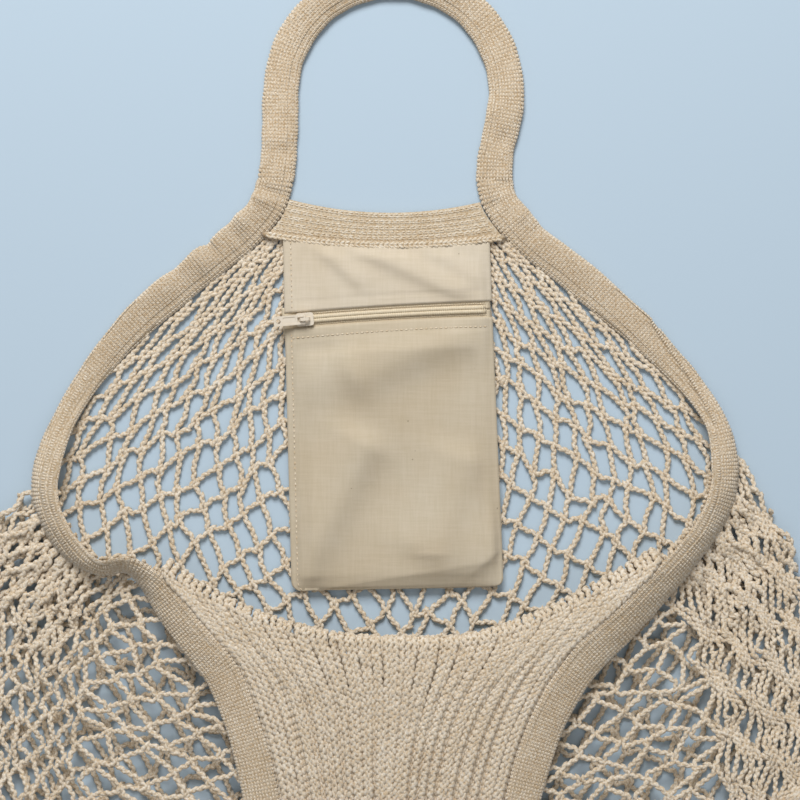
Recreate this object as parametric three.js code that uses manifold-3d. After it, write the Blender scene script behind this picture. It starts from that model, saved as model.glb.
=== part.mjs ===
// Cotton net bag with a zip pocket, lying on its back: the mouth is pulled open and the top of the
// front wall is turned down outwards. Millimetres; +Z is up, +Y points to the back handle, and the
// origin is the middle of the outline on the surface that the bag lies on.
import * as THREE from "three";
import ManifoldModule from "manifold-3d";

// Driving dimensions
const STRAP_WIDTH = 19; // knitted band, folded double and sewn
const STRAP_THICKNESS = 4;
const STRAP_EDGE = 1.3; // how far the band's rounded edge reaches in
const BAND_STEPS = 3; // sections between two rows of a band's table
const GAP = 0.35; // clearance between neighbouring pieces
const NET_GAP = 0.7; // clearance of the net's straight-sided edge from a curved band
const FLAP_GAP = 1.6; // the same for the flap, whose sides bend more
const BEND_GAP = 4.4; // the same where the band bends away beside the binding
const NET_WALL = 3; // knitted net, one strand thick
const NET_OPENING = 0.8; // share of each diamond that is open
const BACK_HEIGHT = 1.5; // middle of the back wall above the floor
const FRONT_EDGE_HEIGHT = 4.9; // middle of the front wall along the side and bottom edges
const NET_COLUMNS = 7;
const BACK_ROWS = 10;
const FRONT_ROWS = 6;
const FLAP_ROWS = 6;
const ROLL_ROWS = 4; // steps round the turned-down edge of the front
const HANDLE_RADIUS = 62; // middle line of a handle's arch
const HANDLE_CENTRE = 261; // distance of the arch's centre from the origin along Y
const HANDLE_ARC_STEPS = 9;
const CLOTH_WALL = 1.2;
const POCKET_BACK_HEIGHT = 3.95;
const POCKET_SEAM_HEIGHT = 5.5; // middle of the front panels along the side seams
const ZIP_ANGLE = 5; // degrees that the zip climbs to the right
const ZIP_HALF_SLOT = 4.3; // from the middle of the zip to the folded cloth edges
const ZIP_CLOTH_HEIGHT = 8; // middle of the cloth beside the zip
const ZIP_MIDDLE = { x: -2, y: 140.4 };
const ZIP_HALF_LENGTH = 55;
const TAPE_LOW = 6.35; // underside of the zip's tapes
const TAPE_HIGH = 7;
const TAPE_WIDTH = 7.5; // each tape, from the middle of the zip
const TAPE_SPLIT = 0.2; // half the slit between the closed tapes
const COIL_WIDTH = 2.1; // each coil
const COIL_HIGH = 8.7;
const COIL_SHOULDER = 0.5; // straight sides of a coil below its round top
const COIL_SPLIT = 0.15;
const COIL_END = 2; // how far the coils stop short of the tapes' right end
const SLIDER_AT = -44.6; // along the zip from its middle
const SLIDER_LENGTH = 9.6;
const SLIDER_WIDTH = 7.2;
const SLIDER_CORNER = 1.5;
const PLATE = 1; // thickness of the slider's two plates
const PLATE_LOW = 4.95;
const PLATE_HIGH = 9.05;
const FLANGE = 0.9; // thickness of the slider's side flanges
const POST = { inset: 0.6, length: 1, width: 1.6 }; // what joins the slider's plates, between the tapes
const BAIL = { thickness: 1.8, foot: 3.1, top: 2.6, innerFoot: 1.8, innerTop: 1.5, bar: 1 };
const PULL_AXIS_HEIGHT = 11.4;
const PULL_BAR_RADIUS = 0.6;
const PULL_LENGTH = 17;
const PULL_WIDTH = 5.4;
const PULL_THICKNESS = 1;
const PULL_CORNER = 1.2;
const PULL_RIM = 0.9; // width of the raised rim round the recess
const PULL_RECESS = { from: 5, to: 12, depth: 0.3 };
const PULL_HOLE = { radius: 1.3, fromEnd: 2.5 };
const PULL_EYE = { reach: 3.9, clearance: 0.4 }; // opening that the bail passes through
const PULL_DROOP = 5; // degrees below level at rest

// Middle line of the left mouth band, from the back handle round to the front one.
// z is the height of its middle; lean is how far the net edge is raised, in degrees. wide is the share of
// the full width that the strip has where it is drawn out at the sides; elsewhere it has all of it.
const LEFT_MOUTH = [
  { x: -62.7, y: 213.5, z: 2, lean: 0 },
  { x: -67.1, y: 199.8, z: 2, lean: 0 },
  { x: -77, y: 187.1, z: 2, lean: 0 },
  { x: -90.8, y: 175, z: 2, lean: 0 },
  { x: -112.8, y: 157.4, z: 2, lean: 0 },
  { x: -137.5, y: 136.5, z: 2, lean: 0 },
  { x: -159.5, y: 111.8, z: 2, lean: 0, wide: 0.76 },
  { x: -176, y: 85.9, z: 4.6, lean: 10, wide: 0.62 },
  { x: -185.6, y: 62, z: 11, lean: 25, wide: 0.92 },
  { x: -188.5, y: 43, z: 14, lean: 33 },
  { x: -182.5, y: 23.5, z: 14.5, lean: 36 },
  { x: -170.5, y: 7.5, z: 15, lean: 42 },
  { x: -156.8, y: 0.5, z: 17, lean: 56 },
  { x: -143, y: 2, z: 19, lean: 52 },
  { x: -129.3, y: -7, z: 20.5, lean: 34 },
  { x: -115.5, y: -24, z: 22.2, lean: 20 },
  { x: -101.8, y: -41, z: 22.2, lean: 12 },
  { x: -90.8, y: -55, z: 21.6, lean: 8 },
  { x: -76, y: -95, z: 18.2, lean: 3 },
  { x: -67.5, y: -140, z: 14.4, lean: 0 },
  { x: -66, y: -180, z: 11.6, lean: 0 },
  { x: -65, y: -206, z: 10, lean: 0 },
];
// The same for the right mouth band.
const RIGHT_MOUTH = [
  { x: 57.2, y: 213.5, z: 2, lean: 0 },
  { x: 59.5, y: 203, z: 2, lean: 0 },
  { x: 66, y: 193, z: 2, lean: 0 },
  { x: 78, y: 179.8, z: 2, lean: 0 },
  { x: 99, y: 163.5, z: 2, lean: 0 },
  { x: 122, y: 144.2, z: 2, lean: 0 },
  { x: 144, y: 123.6, z: 2, lean: 0, wide: 0.84 },
  { x: 164.5, y: 101.3, z: 3.6, lean: 6, wide: 0.66 },
  { x: 178.4, y: 79.8, z: 8.2, lean: 16, wide: 0.62 },
  { x: 182.6, y: 59.8, z: 13, lean: 26, wide: 0.94 },
  { x: 181.5, y: 42, z: 14.3, lean: 31 },
  { x: 173.8, y: 23.8, z: 15.5, lean: 34 },
  { x: 160.6, y: 6.7, z: 18, lean: 34 },
  { x: 144, y: -11, z: 20.5, lean: 28 },
  { x: 125.4, y: -29.6, z: 22, lean: 18 },
  { x: 105.6, y: -48.3, z: 22, lean: 10 },
  { x: 86, y: -80, z: 19.6, lean: 4 },
  { x: 72, y: -125, z: 15.6, lean: 0 },
  { x: 66.5, y: -175, z: 11.8, lean: 0 },
  { x: 65, y: -206, z: 10, lean: 0 },
];
// Outline of the sack beside the mouth, from the mouth down to the ends of the bottom seam.
const LEFT_SIDE = [
  { x: -196, y: 46 },
  { x: -214.5, y: 31 },
  { x: -229, y: 5 },
  { x: -238, y: -30 },
  { x: -240, y: -70 },
  { x: -235, y: -115 },
  { x: -222, y: -155 },
];
const RIGHT_SIDE = [
  { x: 193, y: 60 },
  { x: 202, y: 44 },
  { x: 212, y: 26.5 },
  { x: 224, y: -4 },
  { x: 234, y: -40 },
  { x: 239.9, y: -80 },
  { x: 235, y: -120 },
  { x: 222, y: -157 },
];
// Bottom seam between those ends.
const BOTTOM = [
  { x: -196, y: -188 },
  { x: -150, y: -207 },
  { x: -80, y: -215 },
  { x: 0, y: -217.5 },
  { x: 80, y: -215 },
  { x: 150, y: -207 },
  { x: 196, y: -189 },
];
// Crest of the turned-down front between the two bands: z is its height, roll the radius of the turn.
const FOLD = [
  { x: -104, y: -11.5, z: 26, roll: 5.6 },
  { x: -72, y: -26, z: 26, roll: 4.4 },
  { x: -33, y: -36.8, z: 26, roll: 4 },
  { x: 5, y: -39.5, z: 26, roll: 4 },
  { x: 44, y: -38, z: 26, roll: 4 },
  { x: 82, y: -26, z: 26, roll: 4.4 },
  { x: 115, y: -10.5, z: 25.6, roll: 5.4 },
];
const FOLD_END_ROLL = 8;
const LEFT_FOLD_ROW = 14; // rows of the mouth bands where the fold meets them
const RIGHT_FOLD_ROW = 12.5;
// Top of the front wall under the bands, from the outline to the ends of the fold.
const LEFT_LOBE = { x: -166, y: 9, z: 4.9 };
const RIGHT_LOBE = { x: 171, y: 28, z: 4.9 };
// Legs of the two handles, from the mouth band up to the arch; the right leg comes back down.
const BACK_ARCH = { x: 2, y: HANDLE_CENTRE };
const BACK_LEFT_LEG = [
  { x: -62.6, y: 213.9, z: 2 },
  { x: -61, y: 226, z: 2 },
  { x: -60.2, y: 242, z: 2 },
];
const BACK_RIGHT_LEG = [
  { x: 61.4, y: 242, z: 2 },
  { x: 57.9, y: 226, z: 2 },
  { x: 57.2, y: 213.9, z: 2 },
];
const FRONT_ARCH = { x: 0, y: -HANDLE_CENTRE };
const FRONT_LEFT_LEG = [
  { x: -65, y: -206.4, z: 10 },
  { x: -64, y: -220, z: 9.4 },
  { x: -63, y: -233, z: 4 },
  { x: -62.2, y: -246, z: 2 },
];
const FRONT_RIGHT_LEG = [
  { x: 62.2, y: -246, z: 2 },
  { x: 63, y: -233, z: 4 },
  { x: 64, y: -220, z: 9.4 },
  { x: 65, y: -206.4, z: 10 },
];
// Bindings: rows of the two bands at their lower and upper edges, and how far those edges bow.
const BACK_BINDING = { left: [1.8, 0.72], right: [2.4, 1.08], bow: [-10, -7] };
const FRONT_BINDING = { left: [20.65, 19.93], right: [18.6, 18.05], bow: [3, 3] };
const BINDING_COLUMNS = 16;
// Rows of the bands that the net walls' edges follow.
const BACK_WALL_ROWS = {
  left: [7.2, 6.4, 5.6, 4.8],
  leftBend: [4, 3.2, 2.5],
  right: [7.4, 6.6, 5.8, 5],
  rightBend: [4.2, 3.4],
};
const FLAP_ROWS_OF_BAND = {
  left: [LEFT_FOLD_ROW, 15, 16, 17, 18, 19, 19.9],
  right: [RIGHT_FOLD_ROW, 13, 14, 15, 16, 17, 18],
};
const FRONT_RISE = 1.25; // how late the front wall rises towards its fold
const POCKET = {
  topLeft: { x: -58.6, y: 176.4 },
  topRight: { x: 54.6, y: 176.4 },
  bottomRight: { x: 62.2, y: -9.6 },
  bottomLeft: { x: -53.8, y: -12 },
};
// Soft swells and dents of the pocket's lower front panel: place, height and reach.
const POCKET_SWELLS = [
  { x: -20, y: 95, rise: 1.4, reach: 34 },
  { x: 28, y: 70, rise: 1.2, reach: 30 },
  { x: 0, y: 45, rise: -0.9, reach: 22 },
  { x: 34, y: 22, rise: 1.5, reach: 26 },
  { x: -24, y: 16, rise: 1, reach: 24 },
];

const COTTON = new THREE.MeshStandardMaterial({ color: 0xd8c8aa, roughness: 0.95 });
const KNIT = new THREE.MeshStandardMaterial({ color: 0xcdb99c, roughness: 0.95 });
const CALICO = new THREE.MeshStandardMaterial({ color: 0xdccfb4, roughness: 0.9 });
const NYLON = new THREE.MeshStandardMaterial({ color: 0xd9cdb6, roughness: 0.6 });
const ENAMEL = new THREE.MeshStandardMaterial({ color: 0xdccfb8, roughness: 0.4, metalness: 0.2 });

const UP = new THREE.Vector3(0, 0, 1);
const radians = THREE.MathUtils.degToRad;
const point = (x, y, z = 0) => new THREE.Vector3(x, y, z);
const mix = (a, b, t) => a.clone().lerp(b, t);

const bag = new THREE.Group();
bag.name = "net_bag";

function addMesh(name, geometry, material, parent = bag) {
  geometry.computeVertexNormals();
  const mesh = new THREE.Mesh(geometry, material);
  mesh.name = name;
  parent.add(mesh);
}

function geometryFrom(points, triangles) {
  const geometry = new THREE.BufferGeometry();
  geometry.setFromPoints(points);
  geometry.setIndex(triangles);
  return geometry;
}

// Value of one column of a table at a row number that may fall between two rows.
function between(rows, column, row) {
  const low = Math.min(Math.floor(row), rows.length - 2);
  return THREE.MathUtils.lerp(rows[low][column], rows[low + 1][column], row - low);
}

// A band along a table's rows. netSide is 1 where the net is on the left of the way along it.
function bandAlong(rows, netSide) {
  const line = new THREE.CatmullRomCurve3(rows.map((r) => point(r.x, r.y)));
  const last = rows.length - 1;
  const widths = rows.map((r) => ({ wide: r.wide ?? 1 }));
  function frame(row) {
    const along = line.getTangent(row / last).normalize();
    // The ends are cut square across the bag, where a handle and a mouth band meet.
    if (row === 0 || row === last) along.set(0, Math.sign(along.y), 0);
    const flat = point(-along.y, along.x).multiplyScalar(netSide);
    const lean = radians(between(rows, "lean", row));
    const across = flat.multiplyScalar(Math.cos(lean)).addScaledVector(UP, Math.sin(lean));
    const face = along.clone().cross(across).multiplyScalar(netSide);
    const centre = line.getPoint(row / last).setZ(between(rows, "z", row));
    return { centre, across, face, wide: between(widths, "wide", row) };
  }
  const netEdge = (row, gap) => {
    const { centre, across, wide } = frame(row);
    return centre.addScaledVector(across, (wide * STRAP_WIDTH) / 2 + gap);
  };
  return { last, frame, netEdge, netSide };
}

// The band's solid: a rounded flat section carried along it.
function bandGeometry(band) {
  const half = STRAP_WIDTH / 2;
  const thick = STRAP_THICKNESS / 2;
  const section = [
    [half, -thick * 0.45],
    [half, thick * 0.45],
    [half - STRAP_EDGE, thick],
    [STRAP_EDGE - half, thick],
    [-half, thick * 0.45],
    [-half, -thick * 0.45],
    [STRAP_EDGE - half, -thick],
    [half - STRAP_EDGE, -thick],
  ];
  const sections = band.last * BAND_STEPS + 1;
  const points = [];
  for (let i = 0; i < sections; i++) {
    const { centre, across, face, wide } = band.frame(i / BAND_STEPS);
    for (const [w, h] of section) {
      points.push(centre.clone().addScaledVector(across, w * wide).addScaledVector(face, h));
    }
  }
  const n = section.length;
  const triangles = [];
  const quad = (a, b, c, d) => {
    if (band.netSide > 0) {
      triangles.push(a, c, b, a, d, c);
    } else {
      triangles.push(a, b, c, a, c, d);
    }
  };
  for (let i = 0; i < sections - 1; i++) {
    for (let k = 0; k < n; k++) {
      const next = (k + 1) % n;
      quad(i * n + k, (i + 1) * n + k, (i + 1) * n + next, i * n + next);
    }
  }
  for (let k = 1; k < n - 1; k++) {
    const end = (sections - 1) * n;
    if (band.netSide > 0) {
      triangles.push(0, k + 1, k, end, end + k, end + k + 1);
    } else {
      triangles.push(0, k, k + 1, end, end + k + 1, end + k);
    }
  }
  return geometryFrom(points, triangles);
}

// A sheet's middle surface: triangles that share their corner points.
class Sheet {
  constructor() {
    this.points = [];
    this.triangles = [];
    this.known = new Map();
  }
  corner(p) {
    const key = [p.x, p.y, p.z].map((v) => Math.round(v * 500)).join(" ");
    if (!this.known.has(key)) {
      this.known.set(key, this.points.length);
      this.points.push(p.clone());
    }
    return this.known.get(key);
  }
  face(...corners) {
    const ids = corners.map((p) => this.corner(p));
    for (let k = 1; k < ids.length - 1; k++) {
      this.triangles.push([ids[0], ids[k], ids[k + 1]]);
    }
  }
  // Both faces of the sheet and the walls round its edges and openings.
  thick(wall) {
    const normals = this.points.map(() => point(0, 0));
    const edges = new Set();
    for (const [a, b, c] of this.triangles) {
      const ab = this.points[b].clone().sub(this.points[a]);
      const ac = this.points[c].clone().sub(this.points[a]);
      const normal = ab.cross(ac);
      for (const id of [a, b, c]) {
        normals[id].add(normal);
      }
      for (const [from, to] of [[a, b], [b, c], [c, a]]) {
        edges.add(from + " " + to);
      }
    }
    const n = this.points.length;
    const offset = (sign) => this.points.map((p, i) =>
      p.clone().addScaledVector(normals[i].clone().normalize(), (sign * wall) / 2));
    const points = [...offset(1), ...offset(-1)];
    const triangles = [];
    for (const [a, b, c] of this.triangles) {
      triangles.push(a, b, c, c + n, b + n, a + n);
    }
    for (const edge of edges) {
      const [a, b] = edge.split(" ").map(Number);
      if (!edges.has(b + " " + a)) {
        triangles.push(b, a, a + n, b, a + n, b + n);
      }
    }
    return geometryFrom(points, triangles);
  }
}

// The surface between four edge curves: south and north run left to right, west and east upwards.
function patch(south, north, west, east) {
  const corners = [south(0), south(1), north(0), north(1)];
  return (u, v) => {
    const ruled = mix(south(u), north(u), v).add(mix(west(v), east(v), u));
    return ruled.sub(mix(mix(corners[0], corners[1], u), mix(corners[2], corners[3], u), v));
  };
}

const evenly = (points) => {
  const curve = new THREE.CatmullRomCurve3(points);
  curve.arcLengthDivisions = 400;
  return (t) => curve.getPointAt(t);
};

// Diamond net over a surface: every whole diamond has an opening, and half diamonds close the edges.
function addNet(sheet, place, columns, rows) {
  const at = (i, j) => place(i / columns, j / rows);
  for (let j = 0; j <= rows; j++) {
    for (let i = j % 2 ? 0.5 : 0; i <= columns; i++) {
      const down = j > 0;
      const up = j < rows;
      const left = i > 0;
      const right = i < columns;
      if (down && up && left && right) {
        const ring = [[i, j - 1], [i + 0.5, j], [i, j + 1], [i - 0.5, j]];
        const open = ring.map(([a, b]) => at(i + (a - i) * NET_OPENING, j + (b - j) * NET_OPENING));
        ring.forEach(([a, b], k) => {
          const [c, d] = ring[(k + 1) % 4];
          sheet.face(at(a, b), at(c, d), open[(k + 1) % 4], open[k]);
        });
        continue;
      }
      if (down && left) sheet.face(at(i, j - 1), at(i, j), at(i - 0.5, j));
      if (down && right) sheet.face(at(i, j - 1), at(i + 0.5, j), at(i, j));
      if (up && left) sheet.face(at(i - 0.5, j), at(i, j), at(i, j + 1));
      if (up && right) sheet.face(at(i, j), at(i + 0.5, j), at(i, j + 1));
    }
  }
}

function addGrid(sheet, place, columns, rows) {
  for (let j = 0; j < rows; j++) {
    for (let i = 0; i < columns; i++) {
      const [u, v, uu, vv] = [i / columns, j / rows, (i + 1) / columns, (j + 1) / rows];
      sheet.face(place(u, v), place(uu, v), place(uu, vv), place(u, vv));
    }
  }
}

// Knitted bands and handles
const leftBand = bandAlong(LEFT_MOUTH, 1);
const rightBand = bandAlong(RIGHT_MOUTH, -1);
addMesh("mouth_band_left", bandGeometry(leftBand), KNIT);
addMesh("mouth_band_right", bandGeometry(rightBand), KNIT);

// A handle's rows: up one leg, round the arch and down the other leg.
function handleRows(leftLeg, rightLeg, centre) {
  const arch = [];
  const sign = Math.sign(centre.y);
  for (let k = 0; k <= HANDLE_ARC_STEPS; k++) {
    const angle = Math.PI * (1 - k / HANDLE_ARC_STEPS);
    const x = centre.x + HANDLE_RADIUS * Math.cos(angle);
    const y = centre.y + sign * HANDLE_RADIUS * Math.sin(angle);
    arch.push({ x, y, z: STRAP_THICKNESS / 2 });
  }
  return [...leftLeg, ...arch, ...rightLeg].map((row) => ({ ...row, lean: 0 }));
}
const backHandle = handleRows(BACK_LEFT_LEG, BACK_RIGHT_LEG, BACK_ARCH);
const frontHandle = handleRows(FRONT_LEFT_LEG, FRONT_RIGHT_LEG, FRONT_ARCH);
addMesh("handle_back", bandGeometry(bandAlong(backHandle, -1)), KNIT);
addMesh("handle_front", bandGeometry(bandAlong(frontHandle, 1)), KNIT);

// Bindings: a strip between the net edges of the two bands
function bindingEdges({ left, right, bow }) {
  const edge = (k) => {
    const a = leftBand.netEdge(left[k], NET_GAP);
    const b = rightBand.netEdge(right[k], NET_GAP);
    const middle = mix(a, b, 0.5).add(point(0, bow[k]));
    return (t) => new THREE.QuadraticBezierCurve3(a, middle, b).getPoint(t);
  };
  const side = (band, rows) => (t) => band.netEdge(THREE.MathUtils.lerp(rows[0], rows[1], t), NET_GAP);
  return {
    south: edge(0),
    north: edge(1),
    west: side(leftBand, left),
    east: side(rightBand, right),
  };
}
function addBinding(name, edges) {
  const sheet = new Sheet();
  addGrid(sheet, patch(edges.south, edges.north, edges.west, edges.east), BINDING_COLUMNS, 2);
  addMesh(name, sheet.thick(STRAP_THICKNESS), KNIT);
}
const backBinding = bindingEdges(BACK_BINDING);
addBinding("binding_back", backBinding);
const frontBinding = bindingEdges(FRONT_BINDING);
addBinding("binding_front", frontBinding);

// Net walls
const leftSide = LEFT_SIDE.map((r) => point(r.x, r.y)).reverse();
const rightSide = RIGHT_SIDE.map((r) => point(r.x, r.y)).reverse();
const raised = (points, z) => points.map((p) => p.clone().setZ(z));
const bottomPoints = [leftSide[0], ...BOTTOM.map((r) => point(r.x, r.y)), rightSide[0]];
const bottomSeam = (z) => evenly(raised(bottomPoints, z));
const below = (curve, gap, z) => (t) => curve(t).add(point(0, -gap)).setZ(z);

const backTop = below(backBinding.south, GAP, BACK_HEIGHT);
const bandEdgeUp = (band, rows, gap) => rows.map((row) => band.netEdge(row, gap));
const backWest = evenly([
  ...raised([...leftSide, ...bandEdgeUp(leftBand, BACK_WALL_ROWS.left, NET_GAP)], BACK_HEIGHT),
  ...raised(bandEdgeUp(leftBand, BACK_WALL_ROWS.leftBend, BEND_GAP), BACK_HEIGHT),
  backTop(0),
]);
const backEast = evenly([
  ...raised([...rightSide, ...bandEdgeUp(rightBand, BACK_WALL_ROWS.right, NET_GAP)], BACK_HEIGHT),
  ...raised(bandEdgeUp(rightBand, BACK_WALL_ROWS.rightBend, BEND_GAP), BACK_HEIGHT),
  backTop(1),
]);
const backSheet = new Sheet();
addNet(backSheet, patch(bottomSeam(BACK_HEIGHT), backTop, backWest, backEast), NET_COLUMNS, BACK_ROWS);
addMesh("net_back", backSheet.thick(NET_WALL), COTTON);

// Front wall, the roll of its turned-down edge and the flap, as one sheet
const foldEnds = [leftBand.netEdge(LEFT_FOLD_ROW, FLAP_GAP), rightBand.netEdge(RIGHT_FOLD_ROW, FLAP_GAP)];
const foldRows = [
  { ...foldEnds[0], roll: FOLD_END_ROLL },
  ...FOLD,
  { ...foldEnds[1], roll: FOLD_END_ROLL },
];
const crestLine = new THREE.CatmullRomCurve3(foldRows.map((r) => point(r.x, r.y, r.z)));
crestLine.arcLengthDivisions = 400;
const crest = (t) => crestLine.getPointAt(t);
const rollRadius = (t) => between(foldRows, "roll", crestLine.getUtoTmapping(t) * (foldRows.length - 1));
// Round the turn from the wall (0) to the flap (1).
function rollAt(t, turn) {
  const radius = rollRadius(t);
  const tangent = crestLine.getTangentAt(t);
  const inward = point(-tangent.y, tangent.x).normalize();
  const angle = Math.PI * turn;
  return crest(t)
    .addScaledVector(inward, radius * Math.sin(angle))
    .addScaledVector(UP, -radius * (1 + Math.cos(angle)));
}
const lobe = 1 / NET_COLUMNS;
const inFold = (u) => (u - lobe) / (1 - 2 * lobe);
const frontWest = evenly(raised(leftSide, FRONT_EDGE_HEIGHT));
const frontEast = evenly(raised(rightSide, FRONT_EDGE_HEIGHT));
const bend = (a, middle, b) => evenly([a, point(middle.x, middle.y, middle.z), b]);
const leftLobe = bend(frontWest(1), LEFT_LOBE, rollAt(0, 0));
const rightLobe = bend(rollAt(1, 0), RIGHT_LOBE, frontEast(1));
const frontTop = (u) => {
  if (u < lobe - 1e-6) return leftLobe(u / lobe);
  if (u > 1 - lobe + 1e-6) return rightLobe((u - 1 + lobe) / lobe);
  return rollAt(THREE.MathUtils.clamp(inFold(u), 0, 1), 0);
};
const flapWest = evenly(bandEdgeUp(leftBand, FLAP_ROWS_OF_BAND.left, FLAP_GAP));
const flapEast = evenly(bandEdgeUp(rightBand, FLAP_ROWS_OF_BAND.right, FLAP_GAP));
const flapEnd = (t) => {
  const ends = mix(flapWest(1), flapEast(1), t);
  const edge = frontBinding.north(t).add(point(0, GAP));
  return edge.lerp(ends, Math.abs(2 * t - 1) ** 6);
};
const frontSheet = new Sheet();
const frontPatch = patch(bottomSeam(FRONT_EDGE_HEIGHT), frontTop, frontWest, frontEast);
const frontWall = (u, v) =>
  frontPatch(u, v).setZ(THREE.MathUtils.lerp(FRONT_EDGE_HEIGHT, frontTop(u).z, v ** FRONT_RISE));
addNet(frontSheet, frontWall, NET_COLUMNS, FRONT_ROWS);
addGrid(frontSheet, (t, v) => rollAt(t, v), 2 * (NET_COLUMNS - 2), ROLL_ROWS);
addNet(frontSheet, patch(crest, flapEnd, flapWest, flapEast), NET_COLUMNS - 2, FLAP_ROWS);
addMesh("net_front", frontSheet.thick(NET_WALL), COTTON);

// Pocket panels
const zipFrame = new THREE.Group();
zipFrame.position.set(ZIP_MIDDLE.x, ZIP_MIDDLE.y, 0);
zipFrame.rotation.z = radians(ZIP_ANGLE);
bag.add(zipFrame);
const slope = Math.tan(radians(ZIP_ANGLE));
const steep = 1 / Math.cos(radians(ZIP_ANGLE));
const zipLine = (x, away) => ZIP_MIDDLE.y + (x - ZIP_MIDDLE.x) * slope + away * steep;
const corner = (c, z) => point(c.x, c.y, z);
const straight = (a, b) => (t) => mix(a, b, t);
// Where a side seam of the pocket crosses the zip's cloth edge.
function seamAt(top, bottom, away) {
  let t = 0.2;
  for (let k = 0; k < 20; k++) {
    const x = THREE.MathUtils.lerp(top.x, bottom.x, t);
    t = (top.y - zipLine(x, away)) / (top.y - bottom.y);
  }
  const x = THREE.MathUtils.lerp(top.x, bottom.x, t);
  return point(x, zipLine(x, away), ZIP_CLOTH_HEIGHT);
}
const crowned = (surface, rise) => (u, v) =>
  surface(u, v).addScaledVector(UP, rise * 16 * u * (1 - u) * v * (1 - v));

function addPanel(name, surface, columns, rows) {
  const sheet = new Sheet();
  addGrid(sheet, surface, columns, rows);
  addMesh(name, sheet.thick(CLOTH_WALL), CALICO);
}
const { topLeft, topRight, bottomLeft, bottomRight } = POCKET;
const level = (z) => [bottomLeft, bottomRight, topLeft, topRight].map((c) => corner(c, z));
const backCorners = level(POCKET_BACK_HEIGHT);
addPanel("pocket_back", patch(
  straight(backCorners[0], backCorners[1]),
  straight(backCorners[2], backCorners[3]),
  straight(backCorners[0], backCorners[2]),
  straight(backCorners[1], backCorners[3]),
), 4, 6);
const seam = level(POCKET_SEAM_HEIGHT);
const zipTopLeft = seamAt(topLeft, bottomLeft, ZIP_HALF_SLOT);
const zipTopRight = seamAt(topRight, bottomRight, ZIP_HALF_SLOT);
const zipLowLeft = seamAt(topLeft, bottomLeft, -ZIP_HALF_SLOT);
const zipLowRight = seamAt(topRight, bottomRight, -ZIP_HALF_SLOT);
addPanel("pocket_front_upper", crowned(patch(
  straight(zipTopLeft, zipTopRight),
  straight(seam[2], seam[3]),
  straight(zipTopLeft, seam[2]),
  straight(zipTopRight, seam[3]),
), 1), 8, 3);
// Side seam that is level from the bottom and rises over the zip's tape near its top.
const risingSeam = (low, high) => (t) => {
  const p = mix(low, high, t);
  return p.setZ(THREE.MathUtils.lerp(low.z, high.z, THREE.MathUtils.smoothstep(t, 0.75, 1)));
};
const swell = (p) => {
  for (const s of POCKET_SWELLS) {
    p.z += s.rise * Math.exp(-((p.x - s.x) ** 2 + (p.y - s.y) ** 2) / s.reach ** 2);
  }
  return p;
};
const lowerPatch = patch(
  straight(seam[0], seam[1]),
  straight(zipLowLeft, zipLowRight),
  risingSeam(seam[0], zipLowLeft),
  risingSeam(seam[1], zipLowRight),
);
const lowerSurface = (u, v) => {
  const flat = lowerPatch(u, v);
  const full = swell(flat.clone()).addScaledVector(UP, 1);
  return flat.lerp(full, Math.min(1, 6 * u, 6 * (1 - u)) * Math.min(1, 6 * v, 6 * (1 - v)));
};
addPanel("pocket_front_lower", lowerSurface, 10, 12);

// Zip, in a frame with X along it and its middle at the origin
function extruded(shape, depth) {
  return new THREE.ExtrudeGeometry(shape, { depth, bevelEnabled: false, curveSegments: 5 });
}
const slab = (shape, low, high) => extruded(shape, high - low).translate(0, 0, low);
const postStart = SLIDER_AT - SLIDER_LENGTH / 2 + POST.inset;
const pastPost = postStart + POST.length + 1;
const besidePost = POST.width / 2 + GAP;
const coilBase = TAPE_HIGH + GAP;
for (const [side, sign] of [["upper", 1], ["lower", -1]]) {
  const tape = [
    [-ZIP_HALF_LENGTH, besidePost],
    [pastPost, besidePost],
    [pastPost, TAPE_SPLIT],
    [ZIP_HALF_LENGTH, TAPE_SPLIT],
    [ZIP_HALF_LENGTH, TAPE_WIDTH],
    [-ZIP_HALF_LENGTH, TAPE_WIDTH],
  ].map(([x, y]) => new THREE.Vector2(x, sign * y));
  addMesh("zip_tape_" + side, slab(new THREE.Shape(tape), TAPE_LOW, TAPE_HIGH), NYLON, zipFrame);
  const coil = new THREE.Shape();
  coil.moveTo(0, coilBase);
  coil.lineTo(COIL_WIDTH, coilBase);
  coil.lineTo(COIL_WIDTH, coilBase + COIL_SHOULDER);
  coil.quadraticCurveTo(COIL_WIDTH, COIL_HIGH, COIL_WIDTH / 2, COIL_HIGH);
  coil.quadraticCurveTo(0, COIL_HIGH, 0, coilBase + COIL_SHOULDER);
  const bar = extruded(coil, ZIP_HALF_LENGTH - pastPost - COIL_END);
  bar.rotateX(Math.PI / 2).rotateZ(Math.PI / 2);
  bar.translate(pastPost + GAP, sign > 0 ? COIL_SPLIT : -COIL_SPLIT - COIL_WIDTH, 0);
  addMesh("zip_coil_" + side, bar, NYLON, zipFrame);
}

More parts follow.
